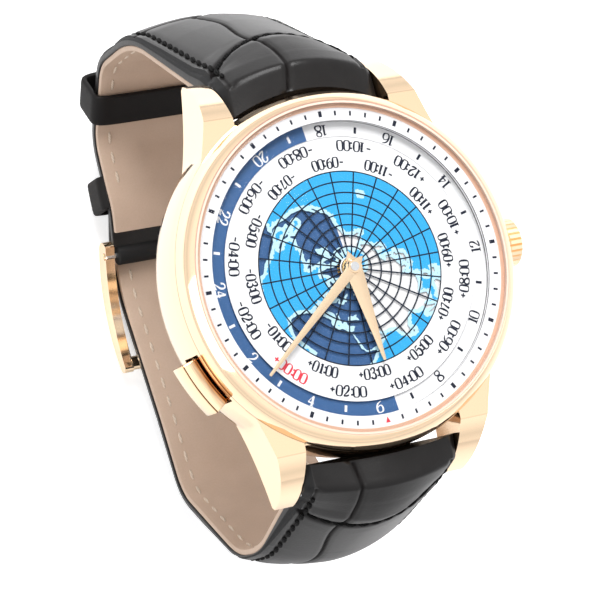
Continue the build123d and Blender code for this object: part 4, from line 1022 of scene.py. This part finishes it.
leather = Finish("black_alligator")
lay = leather.node("ShaderNodeAttribute", {"attribute_name": "lay"}, (), 1)
across, run, sunk = leather.parts(lay)
pores = leather.node(
    "ShaderNodeTexVoronoi", {"feature": "DISTANCE_TO_EDGE"}, {"Vector": lay, "Scale": 1.6}
)
fine = leather.noise(lay, 5.0, 5.0, 0.6)
broad = leather.noise(lay, 0.35, 2.0)
tone = leather.mix(broad, (0.007, 0.006, 0.006, 1), (0.014, 0.013, 0.013, 1))
crease = sunk.between(0.08, 0.26)
leather.set(Base_Color=tone, Roughness=0.22 + fine * 0.12 + broad * 0.06 + crease * 0.3)
leather.set(Specular_IOR_Level=0.22, Coat_Weight=0.08, Coat_Roughness=0.1)
leather.set(Normal=leather.bump(pores.between(0.0, 0.1) * 0.35 + fine * 0.5, 0.00003, 0.3))
leather.dull(0.2 - broad * 0.1 + crease * 0.65, (0.008, 0.007, 0.007, 1))

edge_paint = Finish("strap_edge_paint")
x, y, z = edge_paint.place()
grain = edge_paint.noise(edge_paint.joined(x, y, z), 2.0, 4.0)
edge_paint.set(Base_Color=edge_paint.mix(grain, (0.012, 0.012, 0.013, 1), (0.022, 0.022, 0.023, 1)))
edge_paint.set(Roughness=0.4 + grain * 0.15, Specular_IOR_Level=0.2)
edge_paint.set(Normal=edge_paint.bump(grain, 0.00005, 0.3))
edge_paint.dull(0.4 + grain * 0.1, (0.012, 0.012, 0.012, 1))

calf = Finish("tan_lining")
lay = calf.node("ShaderNodeAttribute", {"attribute_name": "lay"}, (), 1)
fine = calf.noise(lay, 4.0, 5.0, 0.65)
broad = calf.noise(lay, 0.25, 2.0)
tone = calf.mix(broad, (0.52, 0.385, 0.295, 1), (0.62, 0.47, 0.37, 1))
calf.set(Base_Color=calf.mix(fine * 0.4, tone, (0.36, 0.25, 0.17, 1)), Roughness=0.55 + fine * 0.2)
calf.set(Normal=calf.bump(fine, 0.00004, 0.4))

# Each path is given by its corners in y and z, from the spring bar down and round
# the wrist to the end of that half, then by the radius of each corner.
short_outer = rounded(
    [(20.85, 7.0), (23.6, 6.9), (27.2, 1.8), (36.1, -19.37), (36.1, -32.64), (27.37, -41.25),
     (17.9, -40.73), (13.37, -42.9)],
    [0.9, 2, 22, 6.5, 6, 6],
)
short_inner = rounded(
    [(20.85, 1.6), (22.2, 1.2), (34.1, -19.9), (34.1, -31.8), (26.6, -39.2), (17.5, -38.7), (12.5, -41.1)],
    [0.4, 20, 4.5, 4, 8],
)
short_widths = ([10, 20, 24, 34], [9.0, 9.42, 9.42, 9.3])
short_padding = (
    (0, 3, 7, 12, 22, 34, 44, 50),
    (0.5, 1.0, 1.1, 1.1, 1.1, 0.8, 0.3, 0.0),
    (1.0, 1.4, 2.2, 2.3, 1.4, 0.5, 0.3, 0.1),
)
long_outer = rounded(
    [(-20.85, 7), (-23.6, 6.9), (-26.4, 1.8), (-30.05, -13.2), (-30.0, -21.05), (-20.75, -36.65),
     (6.64, -46.29), (13.53, -46.41), (18.9, -43.23), (28.29, -43.75), (35.72, -36.2)],
    [0.9, 2, 18, 12, 9, 10, 8, 4, 8],
)
long_inner = rounded(
    [(-20.85, 1.6), (-21.9, 1.2), (-28.0, -13.5), (-28.0, -20.5), (-19.4, -35.0), (7.0, -44.3),
     (13.0, -44.4), (18.4, -41.2), (27.5, -41.7), (34.3, -34.8)],
    [0.4, 16, 10, 7, 8, 6, 6, 6],
)
tail_turns = np.linspace(0, math.pi / 2, 12)
tail = [31 + 5.4 * math.sin(turn) for turn in tail_turns]
tail_half = [8.1 * math.cos(turn) for turn in tail_turns]
long_widths = ([-34, -25, -20, -10] + tail, [9.3, 9.42, 9.42, 9.0] + tail_half)
long_padding = (
    (0, 3, 7, 10, 20, 42, 52, 60, 84, 89, 104, 110),
    (0.5, 1.2, 1.3, 1.4, 1.4, 1.1, 0.8, 0.1, 0.1, 0.5, 0.8, 0.2),
    (1.0, 1.4, 2.2, 2.3, 1.5, 0.5, 0.4, 0.3, 0.3, 0.3, 0.3, 0.2),
)

short_arc, long_arc = (11.0, 4.6, 0.0), (10.0, 3.0, 2.0)
short_inset, long_inset = ((3, 14, 28), (1.3, 1.3, 1.4)), ((4, 13, 35), (1.1, 1.2, 1.4))
tongue_slot = [(9.5, 14.1, 1.1)]
tongue_holes = [(8.8, 12.4, 1.2), (2.8, 4.4, 0.8), (16.8, 18.4, 0.8)]
lining_thick = 0.68
short_band = Band(
    short_outer, short_inner, short_widths, lining=lining_thick, padding=short_padding, hug=1.0
)
long_band = Band(
    long_outer, long_inner, long_widths, lining=lining_thick, padding=long_padding, hug=-0.35
)
short_relief = alligator([30.0, 39.0, 48.0], [-2.0, -1.6, 0.9, -0.6, 0.8], short_arc, short_inset)
long_relief = alligator(
    [32.0, 41.0, 50.0, 58.5, 67.0, 75.0], [-4.0, -3.6, -1.0, 0.8, -0.8, 0.9], long_arc, long_inset
)
for name, node, band, relief, slots in (
    ("short_strap_leather", "strap_12", short_band, short_relief, tongue_slot),
    ("long_strap_leather", "strap_6", long_band, long_relief, tongue_holes),
):
    skin = pierced(band.skin(relief, 0.8), slots)
    half_strap = finish_piece(skin, name, node, [leather, edge_paint], [node], 40)

# Fold. The short half's end is turned round the buckle's steel bar, with a gap in
# the middle for the tongue.
roll = bmesh.new()
for side in (-1, 1):
    tube = bmesh.ops.create_cone(
        roll, cap_ends=True, segments=40, radius1=1.34, radius2=1.34, depth=7.6
    )["verts"]
    turn_round(roll, "Y", 90, tube)
    bmesh.ops.translate(roll, vec=(side * 4.95, 12.0, -42.55), verts=tube)
rims = [edge for edge in roll.edges if any(len(face.verts) > 4 for face in edge.link_faces)]
bmesh.ops.bevel(
    roll, geom=rims, offset=0.25, segments=3, profile=0.5, affect="EDGES", material=-1
)
finish_piece(roll, "strap_fold", "strap_12", edge_paint, (), 40)
polished("buckle_bar", steel, 30)

# Linings. Bands of tan calf, 0.7 mm thick and a little narrower than the leather
# over them, glued and sewn to it.
calf_thick, calf_trim, calf_start = 0.7, 0.18, 14


def lining_band(inner, outer, widths, end):
    """A band on the inner path, short of the spring bar, and of the far end by the steps in end."""
    path = inner[calf_start:end]
    towards = nearest_on(path, outer) - path
    towards /= np.linalg.norm(towards, axis=1)[:, None]
    return Band(path, path + towards * calf_thick, widths, trim=calf_trim)


def smooth(run, across, half):
    return 0.0


calf_widths = (long_widths[0][:4] + [y - 1.6 for y in tail], long_widths[1])
calf_short = lining_band(short_inner, short_outer, short_widths, -8)
calf_long = lining_band(long_inner, long_outer, calf_widths, -3)
for name, body, node, band, slots in (
    ("short_strap_lining", "strap_12", "lining_12", calf_short, tongue_slot),
    ("long_strap_lining", "strap_6", "lining_6", calf_long, tongue_holes),
):
    skin = pierced(band.skin(smooth, 0.15, 24), slots)
    finish_piece(skin, name, body, [calf, calf], [node], 40)

# Stitching. Heavy waxed black thread in grooves along both edges, seen as pale
# thread on the lining, where it comes through.


def twisted(name, first, second, roughness, depth, strength):
    """A thread, raised along each turn of its twist, with a painted highlight on each turn."""
    finish = Finish(name)
    x, y, z = finish.place()
    twist_ridge_highlight = ((x + y + z) * 14.0).wave()
    # Painted highlight: each turn of the twist is lighter in colour where it is raised.
    finish.set(Base_Color=finish.mix(twist_ridge_highlight, first, second), Roughness=roughness)
    return finish.set(Normal=finish.bump(twist_ridge_highlight, depth, strength))


thread = twisted("black_thread", (0.004, 0.004, 0.004, 1), (0.012, 0.012, 0.012, 1), 0.8, 0.00006, 0.6)
thread.set(Specular_IOR_Level=0.1)
pale_thread = twisted("pale_thread", (0.60, 0.49, 0.39, 1), (0.72, 0.61, 0.50, 1), 0.6, 0.00005, 0.5)


def stitches(bm, ends, thick, down):
    """One rounded stitch between each pair of places, flattened on the leather."""
    for start, end in ends:
        made = bmesh.ops.create_uvsphere(bm, u_segments=7, v_segments=6, radius=1)["verts"]
        along = end - start
        depth = Vector(down(start)).normalized()
        side = depth.cross(along.normalized())
        placing = Matrix((side * thick, depth * thick * 0.8, along * 0.5)).transposed().to_4x4()
        placing.translation = (start + end) / 2
        bmesh.ops.transform(bm, matrix=placing, verts=made)


def edge_rows(band, start, end, pitch, fill, inset, sink, slant=0.0):
    """Both ends of each stitch along both edges, at an inset that varies with the run."""
    rows = []
    run = start
    while run + pitch < end:
        for side in (-1, 1):
            places = []
            for along, lean in ((run, 0.0), (run + pitch * fill, slant)):
                reach = band.half_at(along) - float(np.interp(along, inset[0], inset[1])) - lean
                places.append(band.at(along, side * reach, sink))
            rows.append(tuple(places))
        run += pitch
    return rows


def band_down(band):
    """Which way is into the leather, as a function of the place on this band."""

    def down(place):
        near = np.linalg.norm(band.outer - np.array([place.y, place.z]), axis=1).argmin()
        return (0, band.down[near, 0], band.down[near, 1])

    return down


def arc_rows(band, arc, count=11):
    """Both ends of each stitch along the arched seam that closes the padding."""
    half = band.half_at(8)
    reach = half - 1.4
    rows = []
    for k in range(count):
        places = []
        for share in ((k + 0.02) / count, (k + 0.9) / count):
            across = (2 * share - 1) * reach
            places.append(band.at(arc_run(arc, across / half), across, 0.1))
        rows.append(tuple(places))
    return rows


calf_inset = ((0, 1), (1.6, 1.6))
for name, body, band, calf_side, last, arc, inset in (
    ("short", "strap_12", short_band, calf_short, 66.0, short_arc, short_inset),
    ("long", "strap_6", long_band, calf_long, 102.0, long_arc, long_inset),
):
    sewn = bmesh.new()
    rows = edge_rows(band, 4.5, last, 1.8, 0.88, inset, 0.14, 0.3) + arc_rows(band, arc)
    stitches(sewn, rows, 0.32, band_down(band))
    finish_piece(sewn, name + "_strap_stitches", body, thread, (), 80)
    sewn = bmesh.new()
    rows = edge_rows(calf_side, 1.5, calf_side.run[-1] - 3, 2.6, 0.62, calf_inset, -0.02)
    stitches(sewn, rows, 0.2, band_down(calf_side))
    finish_piece(sewn, name + "_lining_stitches", body, pale_thread, (), 80)

# Keepers. Two loops of the same leather, folded and glued, that hold the tail:
# one sewn to the buckle half and one that slides.


def squared(part, power):
    """A sine or cosine drawn out, so that the round that it makes is nearly square."""
    return math.copysign(abs(part) ** power, part)


def leather_loop(name, node, half_x, near, far, thick, length, swell, origin, out, along):
    """A loop of this inner half width round the strap, with its far side swollen.

    It reaches from near to far of the origin in the direction out, and it is as long
    as length in the direction along.
    """
    bm = bmesh.new()
    bmesh.ops.create_grid(bm, x_segments=24, y_segments=128, size=1)
    lay = bm.verts.layers.float_vector.new("lay")
    corner, middle = 0.5, (near + far) / 2
    reach_x, reach_y = half_x + thick / 2 - corner, (far - near) / 2 + thick / 2 - corner
    for vert in bm.verts:
        section, around = (vert.co.x + 1) * math.pi, (vert.co.y + 1) * math.pi
        c, s = math.cos(around), math.sin(around)
        px = reach_x * squared(c, 0.14) + corner * c
        py = reach_y * squared(s, 0.14) + corner * s
        if s > 0:
            py += swell * (1 - (px / (half_x + thick)) ** 2) * min(1, s * 2)
        wall = thick / 2 * squared(math.cos(section), 0.35)
        lengthwise = length / 2 * squared(math.sin(section), 0.35)
        vert[lay] = (lengthwise, around * 6.0, 0.18)
        vert.co = Vector(origin) + Vector(out) * (middle + py + wall * s) + Vector(along) * lengthwise
        vert.co.x += px + wall * c
    bmesh.ops.remove_doubles(bm, verts=bm.verts, dist=1e-4)
    finish_piece(bm, name, body_of_node[node], leather, [node], 50)


leather_loop(
    "fixed_keeper_loop", "keeper_fixed", 8.95, 40.3, 44.4, 1.15, 4.3, 0.35,
    origin=(0, 19.85, 0), out=(0, 0, -1), along=(0, 1, 0),
)
leather_loop(
    "sliding_keeper_loop", "keeper_floating", 9.4, -0.3, 4.45, 0.8, 4.2, 0.6,
    origin=(0, 29.95, -35.9), out=(0, 0.702, -0.712), along=(0, 0.7118, 0.7024),
)

# Buckle. A pin buckle of polished gold: a bent frame and a tongue, which both turn
# on the steel bar in the short half's fold.
for node in ("buckle_frame", "buckle_tongue"):
    polished(node, gold_polish, 30)
